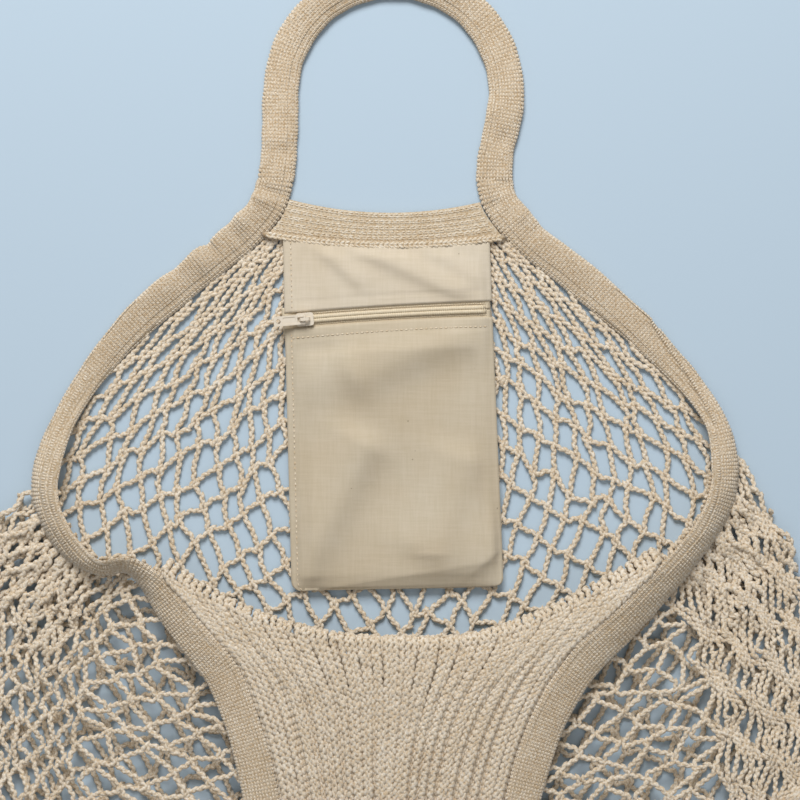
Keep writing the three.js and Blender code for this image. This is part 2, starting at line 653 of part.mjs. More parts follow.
// Joining and cutting of the slider and pull
const manifold = await ManifoldModule();
manifold.setup();
function solid(geometry) {
  const positions = geometry.getAttribute("position");
  const known = new Map();
  const vertices = [];
  const ids = [];
  const count = geometry.index ? geometry.index.count : positions.count;
  for (let k = 0; k < count; k++) {
    const id = geometry.index ? geometry.index.getX(k) : k;
    const p = [positions.getX(id), positions.getY(id), positions.getZ(id)];
    const key = p.map((v) => Math.round(v * 1e4)).join(" ");
    if (!known.has(key)) {
      known.set(key, vertices.length / 3);
      vertices.push(...p);
    }
    ids.push(known.get(key));
  }
  const vertProperties = new Float32Array(vertices);
  const triVerts = new Uint32Array(ids);
  return new manifold.Manifold(new manifold.Mesh({ numProp: 3, vertProperties, triVerts }));
}
function geometryOf(body) {
  const mesh = body.getMesh();
  const geometry = new THREE.BufferGeometry();
  geometry.setAttribute("position", new THREE.BufferAttribute(new Float32Array(mesh.vertProperties), 3));
  geometry.setIndex(new THREE.BufferAttribute(new Uint32Array(mesh.triVerts), 1));
  return geometry;
}
const join = (...bodies) => bodies.reduce((a, b) => a.add(b));
function box(x0, x1, y0, y1, z0, z1) {
  const geometry = new THREE.BoxGeometry(x1 - x0, y1 - y0, z1 - z0);
  return solid(geometry.translate((x0 + x1) / 2, (y0 + y1) / 2, (z0 + z1) / 2));
}

function roundedPlate(x0, x1, halfWidth, round) {
  const shape = new THREE.Shape();
  shape.moveTo(x0 + round, -halfWidth);
  shape.lineTo(x1 - round, -halfWidth);
  shape.absarc(x1 - round, -halfWidth + round, round, -Math.PI / 2, 0);
  shape.absarc(x1 - round, halfWidth - round, round, 0, Math.PI / 2);
  shape.absarc(x0 + round, halfWidth - round, round, Math.PI / 2, Math.PI);
  shape.absarc(x0 + round, -halfWidth + round, round, Math.PI, 1.5 * Math.PI);
  return shape;
}

// Slider: two plates joined by a post, side flanges either side of the tapes, and a bail on top
const sliderHalf = SLIDER_LENGTH / 2;
const sliderSide = SLIDER_WIDTH / 2;
const intoPlate = PLATE / 2;
const sliderPlate = roundedPlate(-sliderHalf, sliderHalf, sliderSide, SLIDER_CORNER);
const flange = (sign, z0, z1) => {
  const low = sign > 0 ? sliderSide - FLANGE : -sliderSide;
  return box(SLIDER_CORNER - sliderHalf, sliderHalf - SLIDER_CORNER, low, low + FLANGE, z0, z1);
};
const plateTop = PLATE_HIGH + PLATE;
const bailUnder = PULL_AXIS_HEIGHT + PULL_BAR_RADIUS + GAP;
const bailTop = bailUnder + BAIL.bar;
const bailShape = new THREE.Shape();
bailShape.moveTo(-BAIL.foot, plateTop - intoPlate);
bailShape.lineTo(-BAIL.top, bailUnder);
bailShape.quadraticCurveTo(-BAIL.top, bailTop, -BAIL.innerTop, bailTop);
bailShape.lineTo(BAIL.innerTop, bailTop);
bailShape.quadraticCurveTo(BAIL.top, bailTop, BAIL.top, bailUnder);
bailShape.lineTo(BAIL.foot, plateTop - intoPlate);
const bailHole = new THREE.Path();
bailHole.moveTo(-BAIL.innerFoot, plateTop);
bailHole.lineTo(BAIL.innerFoot, plateTop);
bailHole.lineTo(BAIL.innerTop, bailUnder);
bailHole.lineTo(-BAIL.innerTop, bailUnder);
bailHole.closePath();
bailShape.holes.push(bailHole);
const bail = extruded(bailShape, BAIL.thickness).rotateX(Math.PI / 2).translate(0, BAIL.thickness / 2, 0);
const postFrom = POST.inset - sliderHalf;
const postSide = POST.width / 2;
const slider = join(
  solid(slab(sliderPlate, PLATE_LOW, PLATE_LOW + PLATE)),
  solid(slab(sliderPlate, PLATE_HIGH, plateTop)),
  box(postFrom, postFrom + POST.length, -postSide, postSide, PLATE_LOW + intoPlate, PLATE_HIGH + intoPlate),
  ...[1, -1].flatMap((sign) => [
    flange(sign, TAPE_HIGH + GAP, PLATE_HIGH + intoPlate),
    flange(sign, PLATE_LOW + intoPlate, TAPE_LOW - GAP),
  ]),
  solid(bail),
);
addMesh("zip_slider", geometryOf(slider).translate(SLIDER_AT, 0, 0), ENAMEL, zipFrame);

// Pull: a tab with a raised rim, a hole at its end and an eye round the slider's bail.
// It is built about its bar, pointing along -X, and then laid down by its droop.
const halfPull = PULL_THICKNESS / 2;
const pullSide = PULL_WIDTH / 2;
const past = 2 * PULL_THICKNESS; // cutters reach this far past the faces
const tabShape = roundedPlate(-PULL_LENGTH, PULL_BAR_RADIUS, pullSide, PULL_CORNER);
const tab = solid(slab(tabShape, -halfPull, halfPull));
const recessShape = roundedPlate(-PULL_RECESS.to, -PULL_RECESS.from, pullSide - PULL_RIM, PULL_RIM);
const recess = (low, high) => solid(slab(recessShape, low, high));
const hole = new THREE.CylinderGeometry(PULL_HOLE.radius, PULL_HOLE.radius, past, 16)
  .rotateX(Math.PI / 2)
  .translate(PULL_HOLE.fromEnd - PULL_LENGTH, 0, 0);
const eyeSide = BAIL.thickness / 2 + PULL_EYE.clearance;
const bar = new THREE.CylinderGeometry(PULL_BAR_RADIUS, PULL_BAR_RADIUS, PULL_WIDTH - PULL_BAR_RADIUS, 12);
const pull = tab
  .subtract(solid(hole))
  .subtract(recess(halfPull - PULL_RECESS.depth, past))
  .subtract(recess(-past, PULL_RECESS.depth - halfPull))
  .subtract(box(-PULL_EYE.reach, past, -eyeSide, eyeSide, -past, past))
  .add(solid(bar));
const pullGeometry = geometryOf(pull)
  .rotateY(-radians(PULL_DROOP))
  .translate(SLIDER_AT, 0, PULL_AXIS_HEIGHT);
addMesh("zip_pull", pullGeometry, ENAMEL, zipFrame);

export default bag;
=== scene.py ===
# Cotton net bag with a zip pocket, lying on its back with its mouth pulled open and the top of its
# front wall turned down outwards. Tables are in millimetres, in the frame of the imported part.
import math

import bmesh
import bpy
import numpy as np
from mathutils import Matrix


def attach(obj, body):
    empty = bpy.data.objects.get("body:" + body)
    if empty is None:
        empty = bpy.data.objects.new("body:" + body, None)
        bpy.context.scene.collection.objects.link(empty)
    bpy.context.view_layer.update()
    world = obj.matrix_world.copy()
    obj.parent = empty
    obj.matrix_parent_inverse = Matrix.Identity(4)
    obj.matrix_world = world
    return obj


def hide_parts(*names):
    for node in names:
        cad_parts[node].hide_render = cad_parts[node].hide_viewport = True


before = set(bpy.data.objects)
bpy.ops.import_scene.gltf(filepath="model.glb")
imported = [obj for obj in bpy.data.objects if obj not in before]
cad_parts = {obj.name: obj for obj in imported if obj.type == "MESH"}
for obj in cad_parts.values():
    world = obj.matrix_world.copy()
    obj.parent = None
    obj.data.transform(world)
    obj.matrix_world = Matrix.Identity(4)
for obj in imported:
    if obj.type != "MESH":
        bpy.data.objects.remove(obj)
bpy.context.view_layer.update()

# Mouth bands
# The two edges of the mouth are bound with a strip of cotton knit, folded double over the net and
# coverstitched. Its stitches run along it in columns, and the collar at the sides leans outwards.
MM = 0.001
UP = np.array([0.0, 0.0, 1.0])
STRAP_HALF_WIDTH = 9.3
STRAP_HALF_DEPTH = 1.45
STRAP_STEP = 2.2  # length of one section of the strip
SECTION_POWERS = (0.5, 0.6)  # they square its section off, across and in depth
TOP_POINTS, UNDER_POINTS = 17, 9  # of a section's upper and lower face
NET_EDGE = 9.5  # from the strip's middle line to the edge that the net is sewn to
KNIT_COLUMN = 1.7
KNIT_COURSE = 1.95
OUTER_COLUMN = 5  # number of the last column on each side of the middle one
EDGE_COLUMN = 9.2  # place of the column of stitches round each edge
EDGE_CLEAR = 0.6  # and the other columns' distance from it
COURSE_MARGIN = 0.2
BAND_STITCH = (2.15, 1.08, 0.72)
STRAP_CROWN = 0.5  # how much thicker the doubled strip is along its middle
UNEVEN_WIDTH = [(0.018, 3.1, 1), (0.014, 7.7, 0)]  # share of the width, pace along, 1 where bands differ
UNEVEN_FACE = [(0.16, 2.3, 0.3), (0.12, 5.9, -0.5)]  # rise, pace along, pace across
NUDGE = 0.02  # rows to either side, from which a direction along is found
LEFT_MOUTH = np.array([  # x, y, z, degrees that the net edge is raised, share of the full width
    (-62.7, 213.5, 2, 0, 1), (-67.1, 199.8, 2, 0, 1), (-77, 187.1, 2, 0, 1), (-90.8, 175, 2, 0, 1),
    (-112.8, 157.4, 2, 0, 1), (-137.5, 136.5, 2, 0, 1), (-159.5, 111.8, 2, 0, 0.76),
    (-176, 85.9, 4.6, 10, 0.62), (-185.6, 62, 11, 25, 0.92), (-188.5, 43, 14, 33, 1),
    (-182.5, 23.5, 14.5, 36, 1), (-170.5, 7.5, 15, 42, 1), (-156.8, 0.5, 17, 68, 1),
    (-143, 2, 19, 62, 1), (-129.3, -7, 20.5, 34, 1), (-115.5, -24, 22.2, 20, 1),
    (-101.8, -41, 22.2, 12, 1), (-90.8, -55, 21.6, 8, 1), (-76, -95, 18.2, 3, 1),
    (-67.5, -140, 14.4, 0, 1), (-66, -180, 11.6, 0, 1), (-65, -206, 10, 0, 1),
])
RIGHT_MOUTH = np.array([
    (57.2, 213.5, 2, 0, 1), (59.5, 203, 2, 0, 1), (66, 193, 2, 0, 1), (78, 179.8, 2, 0, 1),
    (99, 163.5, 2, 0, 1), (122, 144.2, 2, 0, 1), (144, 123.6, 2, 0, 0.84), (164.5, 101.3, 3.6, 6, 0.66),
    (178.4, 79.8, 8.2, 16, 0.62), (182.6, 59.8, 13, 26, 0.94), (181.5, 42, 14.3, 31, 1),
    (173.8, 23.8, 15.5, 34, 1), (160.6, 6.7, 18, 34, 1), (144, -11, 20.5, 28, 1),
    (125.4, -29.6, 22, 18, 1), (105.6, -48.3, 22, 10, 1), (86, -80, 19.6, 4, 1),
    (72, -125, 15.6, 0, 1), (66.5, -175, 11.8, 0, 1), (65, -206, 10, 0, 1),
])
LEFT_DENTS = [  # row, place across, rise, reach along and across, push of the outer edge
    (0.5, 2, -1.3, 5, 9, 0), (0.9, -4, 1.2, 5, 7, 0.3), (2.0, -6, 1.0, 5, 6, 0.8),
    (2.5, 0, -0.9, 5, 9, -0.3), (2.9, 5, -1.0, 4, 7, 0), (3.2, -7, -1.5, 2.6, 6, -1.4),
    (3.5, -2, 1.3, 4.5, 8, 0.8), (4.0, -6, -0.8, 4, 5, -0.6), (4.4, -4, 0.7, 6, 6, 0.3),
]
RIGHT_DENTS = [
    (1.2, 4, -0.9, 5, 7, 0), (2.2, -5, 0.9, 6, 7, 0.5), (2.9, -5, -0.8, 5, 6, -0.4),
    (5.0, -5, -0.5, 6, 6, -0.3), (5.6, -7, 0.9, 6, 4, 0.9), (6.4, -8, -0.4, 6, 5, -0.3),
]
# The right band's outer edge is turned up along a slanting line: a groove, a ridge outside it and a hollow
# inside it. The line is row and place across; the dents along it are place aside, rise and reach across.
RIGHT_TURN = np.array([(row, 6 * row - 41) for row in np.arange(5.5, 8.0, 0.15)])
for aside, rise, reach in ((0, -0.7, 1.3), (-3.5, 0.5, 2.5), (3.5, -0.25, 2.5)):
    RIGHT_DENTS += [(row, place + aside, rise, 4, reach, 0) for row, place in RIGHT_TURN]
LEFT_LADDERS = [  # first and last place across, rung, first and last row
    (-2.4, 1.4, 3.2, 6.3, 8.4), (1.4, 1.4, 3.0, 8.4, 12.4), (6.0, 6.0, 2.7, 7.6, 12.4),
]
RIGHT_LADDERS = [(6.0, 6.0, 2.8, 8.2, 12.6), (-8.9, 3.2, 2.4, 5.7, 8.0)]
LADDER_STEP = 1.5
LADDER_CLEAR = 0.1
LINK_SPAN = 1.2  # how long a link of size 1 comes out
RUNG = (0.85, 0.8)  # width and height of a ladder's rungs
SEAM_GROOVE = (5.1, 0.55, 0.9)  # place, depth and reach of the seam that closes the folded strip
COLLAR_LEAN = (8, 48)  # degrees from which the collar begins to roll, and at which it is rolled in full
COLLAR_ROLL = 3.4  # how far the outer edge of the collar is rolled down
COLLAR_BEND = 1.6  # and its inner edge laid over


def linear(colour):
    """An sRGB hex colour as linear red, green, blue and alpha."""
    channels = [int(colour[k:k + 2], 16) / 255 for k in (1, 3, 5)]
    return [*(c / 12.92 if c <= 0.04045 else ((c + 0.055) / 1.055) ** 2.4 for c in channels), 1.0]


def fill(tree, made, inputs):
    """Gives a node its inputs, values or sockets of other nodes, by name or number."""
    for key, value in inputs.items():
        if isinstance(value, bpy.types.NodeSocket):
            tree.links.new(value, made.inputs[key])
        else:
            made.inputs[key].default_value = value
    return made


def node(tree, kind, inputs=None, **settings):
    """Adds a node: settings are its own properties."""
    made = tree.nodes.new(kind)
    for name, value in settings.items():
        setattr(made, name, value)
    return fill(tree, made, inputs or {})


def unit(vectors):
    return vectors / np.linalg.norm(vectors, axis=-1, keepdims=True)


def spline(points, rows):
    """Points on a smooth curve through a table's points, at row numbers that may fall between two."""
    p = np.asarray(points, float)
    p = np.vstack([2 * p[0] - p[1], p, 2 * p[-1] - p[-2]])
    rows = np.clip(np.asarray(rows, float), 0, len(p) - 3)
    first = np.minimum(rows.astype(int), len(p) - 4)
    t = (rows - first)[:, None]
    a, b, c, d = (p[first + k] for k in range(4))
    ab, bc, cd = (np.linalg.norm(n - m, axis=1, keepdims=True) ** 0.5 + 1e-9
                  for m, n in ((a, b), (b, c), (c, d)))
    leave = bc * ((b - a) / ab - (c - a) / (ab + bc) + (c - b) / bc)
    reach = bc * ((c - b) / bc - (d - b) / (bc + cd) + (d - c) / cd)
    return (b + leave * t + (3 * (c - b) - 2 * leave - reach) * t ** 2
            + (2 * (b - c) + leave + reach) * t ** 3)


def lengths_along(line):
    return np.r_[0, np.cumsum(np.linalg.norm(np.diff(line, axis=0), axis=1))]


def on_line(line, run, at):
    """Points of a line, of which run are the lengths along it, at other lengths along it."""
    return np.stack([np.interp(at, run, line[:, k]) for k in range(3)], -1)


def rounded_column(values, rows):
    """A table's column at row numbers, with its corners rounded off."""
    steps = np.arange(len(values))
    return sum(np.interp(rows + shift, steps, values) for shift in (-0.4, -0.2, 0, 0.2, 0.4)) / 5


def band_frame(table, net_side, rows):
    """Middle of a band, and its directions along, across to the net edge and out of its upper face."""
    rows = np.asarray(rows, float)
    last = len(table) - 1
    along = unit(spline(table[:, :2], rows + NUDGE) - spline(table[:, :2], rows - NUDGE))
    # Over the third of a row before its ends the strip turns square to the bag.
    square = np.clip(1 - 3 * np.minimum(rows, last - rows), 0, 1)[:, None]
    ends = np.c_[np.zeros(len(rows)), np.sign(along[:, 1])]
    along = unit(along * (1 - square) + ends * square)
    lean = np.radians(rounded_column(table[:, 3], rows))[:, None]
    flat = net_side * np.c_[-along[:, 1], along[:, 0], np.zeros(len(rows))]
    across = flat * np.cos(lean) + UP * np.sin(lean)
    along = np.c_[along, np.zeros(len(rows))]
    middle = np.c_[spline(table[:, :2], rows), rounded_column(table[:, 2], rows)]
    return middle, along, across, net_side * np.cross(along, across)


def strap_section(angle):
    """Place across and above a strap's middle, and the outward normal, round its rounded edge."""
    c, s = np.cos(angle), np.sin(angle)
    cc, ss = np.abs(c) + 1e-6, np.abs(s) + 1e-6
    flat, steep = SECTION_POWERS
    w = STRAP_HALF_WIDTH * np.sign(c) * cc ** flat
    h = STRAP_HALF_DEPTH * np.sign(s) * ss ** steep
    nw = STRAP_HALF_DEPTH * steep * ss ** (steep - 1) * c
    nh = STRAP_HALF_WIDTH * flat * cc ** (flat - 1) * s
    size = np.hypot(nw, nh)
    return w, h, nw / size, nh / size


def strap_angle(w):
    """The angle round the section at which its upper face has a place across."""
    return np.arccos(np.sign(w) * (w / STRAP_HALF_WIDTH) ** 2)


def strap_point(table, net_side, dents, rows, angle):
    """Points on a strap's skin, with the direction along it and the normals."""
    middle, along, across, face = band_frame(table, net_side, rows)
    w, h, nw, nh = (v[:, None] for v in strap_section(angle))
    row = np.asarray(rows, float)[:, None]
    aside = w / STRAP_HALF_WIDTH
    drawn_out = rounded_column(table[:, 4], rows)[:, None]
    wide = drawn_out * (1 + sum(share * np.sin(pace * row + differ * table[0, 0])
                                for share, pace, differ in UNEVEN_WIDTH))
    lift = STRAP_CROWN * (1 - aside ** 2)
    lift = lift + sum(rise * np.sin(pace * row + slant * w) for rise, pace, slant in UNEVEN_FACE)
    leaning = np.interp(rounded_column(table[:, 3], rows), COLLAR_LEAN, (0, 1))[:, None]
    roll = leaning * np.where(w < 0, COLLAR_ROLL, COLLAR_BEND)
    seam, depth, reach = SEAM_GROOVE
    lift = lift - depth * np.exp(-((w - seam) / reach) ** 2) * (1 - leaning)
    mm_per_row = np.linalg.norm(np.diff(table[:, :2], axis=0), axis=1).mean()
    for at, place, rise, reach_along, reach_across, push in dents:
        past = ((row - at) * mm_per_row / reach_along) ** 2
        lift = lift + rise * np.exp(-past - ((w - place) / reach_across) ** 2)
        wide = wide + push / STRAP_HALF_WIDTH * np.exp(-past) * np.clip(-aside, 0, 1) ** 2
    lift = np.where(h > 0, lift, 0.0)
    slope = 2 * (roll + STRAP_CROWN) * aside / STRAP_HALF_WIDTH
    return (middle + across * w * wide + face * (h + lift - roll * aside ** 2), along,
            unit(across * (nw + slope * nh) + face * nh))


def new_object(name, points, faces, relief):
    """An object at the origin; relief tells its material how far a point stands out, and the material paints
    the low points darker as shade.
    """
    mesh = bpy.data.meshes.new(name)
    mesh.from_pydata(points, [], faces, shade_flat=False)
    height = mesh.attributes.new("relief", "FLOAT", "POINT")
    height.data.foreach_set("value", np.broadcast_to(relief, len(points)).astype(np.float32))
    made = bpy.data.objects.new(name, mesh)
    bpy.context.scene.collection.objects.link(made)
    return made


def new_piece(name, points, faces, material, relief=0.0):
    """A piece of the bag, from points in millimetres."""
    piece = new_object(name, (np.asarray(points) * MM).tolist(), faces, relief)
    piece.data.materials.append(material)
    return piece


def new_tree(name, inputs):
    """A Geometry Nodes tree with named inputs and one output, and the sockets of its inputs."""
    tree = bpy.data.node_groups.new(name, "GeometryNodeTree")
    for label, kind in inputs:
        tree.interface.new_socket(label, in_out="INPUT", socket_type="NodeSocket" + kind)
    tree.interface.new_socket("Geometry", in_out="OUTPUT", socket_type="NodeSocketGeometry")
    return tree, node(tree, "NodeGroupInput").outputs


def run_tree(piece, tree, values):
    """Runs a tree on a piece and keeps what it makes as the piece's plain mesh."""
    modifier = piece.modifiers.new(tree.name, "NODES")
    modifier.node_group = tree
    for item in tree.interface.items_tree:
        if item.in_out == "INPUT" and item.name in values:
            modifier[item.identifier] = values[item.name]
    graph = bpy.context.evaluated_depsgraph_get()
    made = bpy.data.meshes.new_from_object(piece.evaluated_get(graph), preserve_all_data_layers=True,
                                           depsgraph=graph)
    piece.modifiers.remove(modifier)
    made.name = piece.name
    piece.data = made


def laying_tree():
    """Lays a stitch at each place and joins them with the piece that they lie on."""
    tree, given = new_tree("lay_stitches", (
        ("Geometry", "Geometry"), ("Places", "Object"), ("Stitch", "Object"), ("Length", "Float"),
        ("Width", "Float"), ("Height", "Float"), ("Least", "Float"), ("Most", "Float"), ("Seed", "Int"),
        ("Material", "Material")))
    places = node(tree, "GeometryNodeObjectInfo", {"Object": given["Places"]})
    stitch = node(tree, "GeometryNodeObjectInfo", {"Object": given["Stitch"]})
    turn = node(tree, "GeometryNodeInputNamedAttribute", {"Name": "turn"}, data_type="FLOAT_VECTOR")
    uneven = node(tree, "FunctionNodeRandomValue",
                  {2: given["Least"], 3: given["Most"], "Seed": given["Seed"]}, data_type="FLOAT")
    size = node(tree, "ShaderNodeCombineXYZ",
                {"X": given["Length"], "Y": given["Width"], "Z": given["Height"]})
    scale = node(tree, "ShaderNodeVectorMath",
                 {0: size.outputs[0], "Scale": uneven.outputs[1]}, operation="SCALE")
    laid = node(tree, "GeometryNodeInstanceOnPoints",
                {"Points": places.outputs["Geometry"], "Instance": stitch.outputs["Geometry"],
                 "Rotation": turn.outputs["Attribute"], "Scale": scale.outputs[0]})
    real = node(tree, "GeometryNodeRealizeInstances", {"Geometry": laid.outputs["Instances"]})
    dressed = node(tree, "GeometryNodeSetMaterial",
                   {"Geometry": real.outputs[0], "Material": given["Material"]})
    joined = node(tree, "GeometryNodeJoinGeometry", {"Geometry": given["Geometry"]})
    tree.links.new(dressed.outputs[0], joined.inputs[0])
    node(tree, "NodeGroupOutput", {"Geometry": joined.outputs[0]})
    return tree


LAYING = laying_tree()


def lay(piece, stitch, size, material, points, along, up, uneven, seed):
    """Lays stitches of a size on a piece, at places with directions along and up."""
    x = unit(along)
    y = unit(np.cross(up, x))
    z = np.cross(x, y)
    turn = np.c_[np.arctan2(y[:, 2], z[:, 2]), np.arcsin(np.clip(-x[:, 2], -1, 1)),
                 np.arctan2(x[:, 1], x[:, 0])]
    spots = bpy.data.meshes.new("places")
    spots.from_pydata((points * MM).tolist(), [], [])
    turns = spots.attributes.new("turn", "FLOAT_VECTOR", "POINT")
    turns.data.foreach_set("vector", turn.astype(np.float32).ravel())
    places = bpy.data.objects.new("places", spots)
    bpy.context.scene.collection.objects.link(places)
    length, width, height = (k * MM for k in size)
    run_tree(piece, LAYING, {"Places": places, "Stitch": stitch, "Length": length, "Width": width,
                             "Height": height, "Least": 1 - uneven, "Most": 1 + uneven, "Seed": seed,
                             "Material": material})
    bpy.data.objects.remove(places)


def new_material(name):
    """A material, its tree, its shader and the socket that tells where a point is on the object."""
    material = bpy.data.materials.new(name)
    material.use_nodes = True
    tree = material.node_tree
    where = node(tree, "ShaderNodeTexCoord").outputs["Object"]
    return material, tree, tree.nodes["Principled BSDF"], where


def noise(tree, where, size, detail):
    """Noise in blotches of a size in millimetres."""
    made = node(tree, "ShaderNodeTexNoise", {"Vector": where, "Scale": 1 / (size * MM), "Detail": detail})
    return made.outputs["Fac"]


def mixed(tree, share, low, high, way="MIX"):
    """Two colours, as hex or as sockets, mixed by a share."""
    low, high = (linear(c) if isinstance(c, str) else c for c in (low, high))
    made = node(tree, "ShaderNodeMix", {0: share, 6: low, 7: high}, data_type="RGBA", blend_type=way)
    return made.outputs[2]


def ranged(tree, value, start, end, low, high):
    """A value brought from one range into another."""
    return node(tree, "ShaderNodeMapRange", {"Value": value, 1: start, 2: end, 3: low, 4: high}).outputs[0]


def bumped(tree, height, strength, depth):
    """A normal that is bumped over a depth in millimetres."""
    made = node(tree, "ShaderNodeBump", {"Height": height, "Strength": strength, "Distance": depth * MM})
    return made.outputs[0]


def knitted_cotton(name, gap, yarn, lit_crown):
    """Undyed cotton yarn, knitted: matt and fuzzy, with painted shade where one stitch dips behind the next
    and a painted highlight on the crowns of the stitches.
    """
    material, tree, shader, where = new_material(name)
    relief = node(tree, "ShaderNodeAttribute", attribute_name="relief")
    # The relief ramp paints light: the gap colour is painted shade low between stitches, the crown colour a
    # painted highlight on their tops.
    depth = node(tree, "ShaderNodeValToRGB", {"Fac": relief.outputs["Fac"]})
    depth.color_ramp.elements[0].color = linear(gap)
    depth.color_ramp.elements[1].color = linear(lit_crown)
    depth.color_ramp.elements.new(0.45).color = linear(yarn)
    # Blotches of 15 mm from washing and drying, and flecks of about 1 mm where the yarn is uneven.
    worn = mixed(tree, noise(tree, where, 15, 2.0), "#e8e0d4", "#ffffff")
    fleck = ranged(tree, noise(tree, where, 1.1, 2.0), 0.35, 0.62, 0.0, 1.0)
    flecked = mixed(tree, fleck, "#e4d5be", "#ffffff")
    toned = mixed(tree, 1.0, depth.outputs["Color"], worn, "MULTIPLY")
    fill(tree, shader, {"Base Color": mixed(tree, 1.0, toned, flecked, "MULTIPLY"),
                        "Normal": bumped(tree, noise(tree, where, 0.4, 3.0), 0.55, 0.3),  # fibres
                        "Roughness": 0.93, "Specular IOR Level": 0.22,
                        "Sheen Weight": 0.25, "Sheen Roughness": 0.6})
    return material


def knit_legs():
    """The two legs of a knit stitch: low leaves, along X, that meet at one end in a V."""
    points, faces, relief = [], [], []
    for side in (1, -1):
        start = len(points)
        splay = side * 0.42
        for a, b, c in ((-0.62, 0, 0), (-0.25, 0.26, 0), (0.38, 0.26, 0), (0.68, 0, 0), (0.38, -0.26, 0),
                        (-0.25, -0.26, 0), (-0.22, 0, 1), (0.36, 0, 1)):
            points.append((a * math.cos(splay) - b * math.sin(splay),
                           side * 0.25 + a * math.sin(splay) + b * math.cos(splay), c - 0.15))
            # Relief for the painted shade: the leaf's rim lower and darker, its ridge higher and lighter.
            relief.append(0.3 + 0.7 * c)
        for face in ((0, 5, 6), (5, 4, 7, 6), (4, 3, 7), (3, 2, 7), (2, 1, 6, 7), (1, 0, 6)):
            faces.append([start + k for k in face])
    return new_object("knit_stitch", points, faces, relief)


def yarn_link(name, sides=5):
    """One link of chain-knitted yarn: a lump along X that narrows towards both ends."""
    points = [(-0.64, 0, 0)]
    # Relief for the painted shade: the link's narrow ends darker, its thick middle lighter.
    relief = [0.3]
    for x, radius, height in ((-0.3, 0.44, 0.8), (0.2, 0.5, 1.0)):
        for k in range(sides):
            turn = 2 * math.pi * (k + 0.25) / sides
            points.append((x, radius * math.cos(turn), radius * math.sin(turn)))
            relief.append(height)
    points.append((0.64, 0, 0))
    relief.append(0.3)
    faces = []
    for k in range(sides):
        n = (k + 1) % sides
        faces += [(0, 1 + n, 1 + k), (1 + k, 1 + n, 1 + sides + n, 1 + sides + k),
                  (1 + sides + k, 1 + sides + n, 2 * sides + 1)]
    return new_object(name, points, faces, relief)


KNIT_STITCH = knit_legs()
THREAD_STITCH = yarn_link("thread_stitch")
BAND_COTTON = knitted_cotton("band_cotton_knit", "#b9a991", "#eae0cf", "#f6efe3")


def knit_strap(name, cad_node, table, net_side, dents=(), ladders=()):
    """A knitted strip along a table's rows, with its columns of stitches and its coverstitched ladders."""
    fine = np.linspace(0, len(table) - 1, 3000)
    run = lengths_along(band_frame(table, net_side, fine)[0])
    sections = np.interp(np.linspace(0, run[-1], int(run[-1] / STRAP_STEP) + 1), run, fine)
    top, under = np.linspace(1, -1, TOP_POINTS), np.linspace(-1, 1, UNDER_POINTS)[1:-1]
    around = np.r_[strap_angle(top * STRAP_HALF_WIDTH), 2 * np.pi - strap_angle(under * STRAP_HALF_WIDTH)]
    count = len(around)
    around_all = np.tile(around, len(sections))
    points = strap_point(table, net_side, dents, np.repeat(sections, count), around_all)[0]
    ring = np.arange(count)
    faces = []
    for k in range(len(sections) - 1):
        for a, b in zip(ring + count * k, np.roll(ring, -1) + count * k):
            faces.append((a, b, b + count, a + count) if net_side < 0 else (a, a + count, b + count, b))
    last = count * (len(sections) - 1)
    caps = [list(ring[::-1]), list(ring + last)]
    faces += caps if net_side < 0 else [c[::-1] for c in caps]
    # The skin takes a low relief, so it is painted shaded where it shows between the stitches.
    piece = new_piece(name, points, [[int(i) for i in f] for f in faces], BAND_COTTON, relief=0.2)

    courses = np.interp(np.arange(COURSE_MARGIN, run[-1] - COURSE_MARGIN, KNIT_COURSE), run, fine)
    inner = KNIT_COLUMN * np.arange(-OUTER_COLUMN, OUTER_COLUMN + 1)
    columns = np.r_[-EDGE_COLUMN, inner, EDGE_COLUMN]
    rows, w = (v.ravel() for v in np.meshgrid(courses, columns, indexing="ij"))
    # Where the strip is drawn out, its columns keep their distance, and the outer ones are turned under.
    w = np.where(np.abs(w) < EDGE_COLUMN, w / rounded_column(table[:, 4], rows), w)
    seen = (np.abs(w) < EDGE_COLUMN - EDGE_CLEAR) | (np.abs(w) == EDGE_COLUMN)
    rows, w = rows[seen], w[seen]
    bare = np.zeros(len(rows), bool)
    for first, last, rung, low, high in ladders:
        place = np.interp(rows, (low, high), (first, last))
        bare |= (np.abs(w - place) < rung / 2 + LADDER_CLEAR) & (rows > low) & (rows < high)
    spots = strap_point(table, net_side, dents, rows[~bare], strap_angle(w[~bare]))
    lay(piece, KNIT_STITCH, BAND_STITCH, BAND_COTTON, *spots, uneven=0.06, seed=3)
    for first, last, rung, low, high in ladders:
        start, end = np.interp((low, high), fine, run)
        rows = np.interp(np.arange(start, end, LADDER_STEP), run, fine)
        place = np.interp(rows, (low, high), (first, last))
        spots, along, up = strap_point(table, net_side, dents, rows, strap_angle(place))
        size = (rung / LINK_SPAN, *RUNG)
        lay(piece, THREAD_STITCH, size, BAND_COTTON, spots, np.cross(up, along), up, uneven=0.12, seed=5)
    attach(piece, "bag")
    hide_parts(cad_node)


knit_strap("mouth_band_left_knit", "mouth_band_left", LEFT_MOUTH, 1, LEFT_DENTS, LEFT_LADDERS)
knit_strap("mouth_band_right_knit", "mouth_band_right", RIGHT_MOUTH, -1, RIGHT_DENTS, RIGHT_LADDERS)

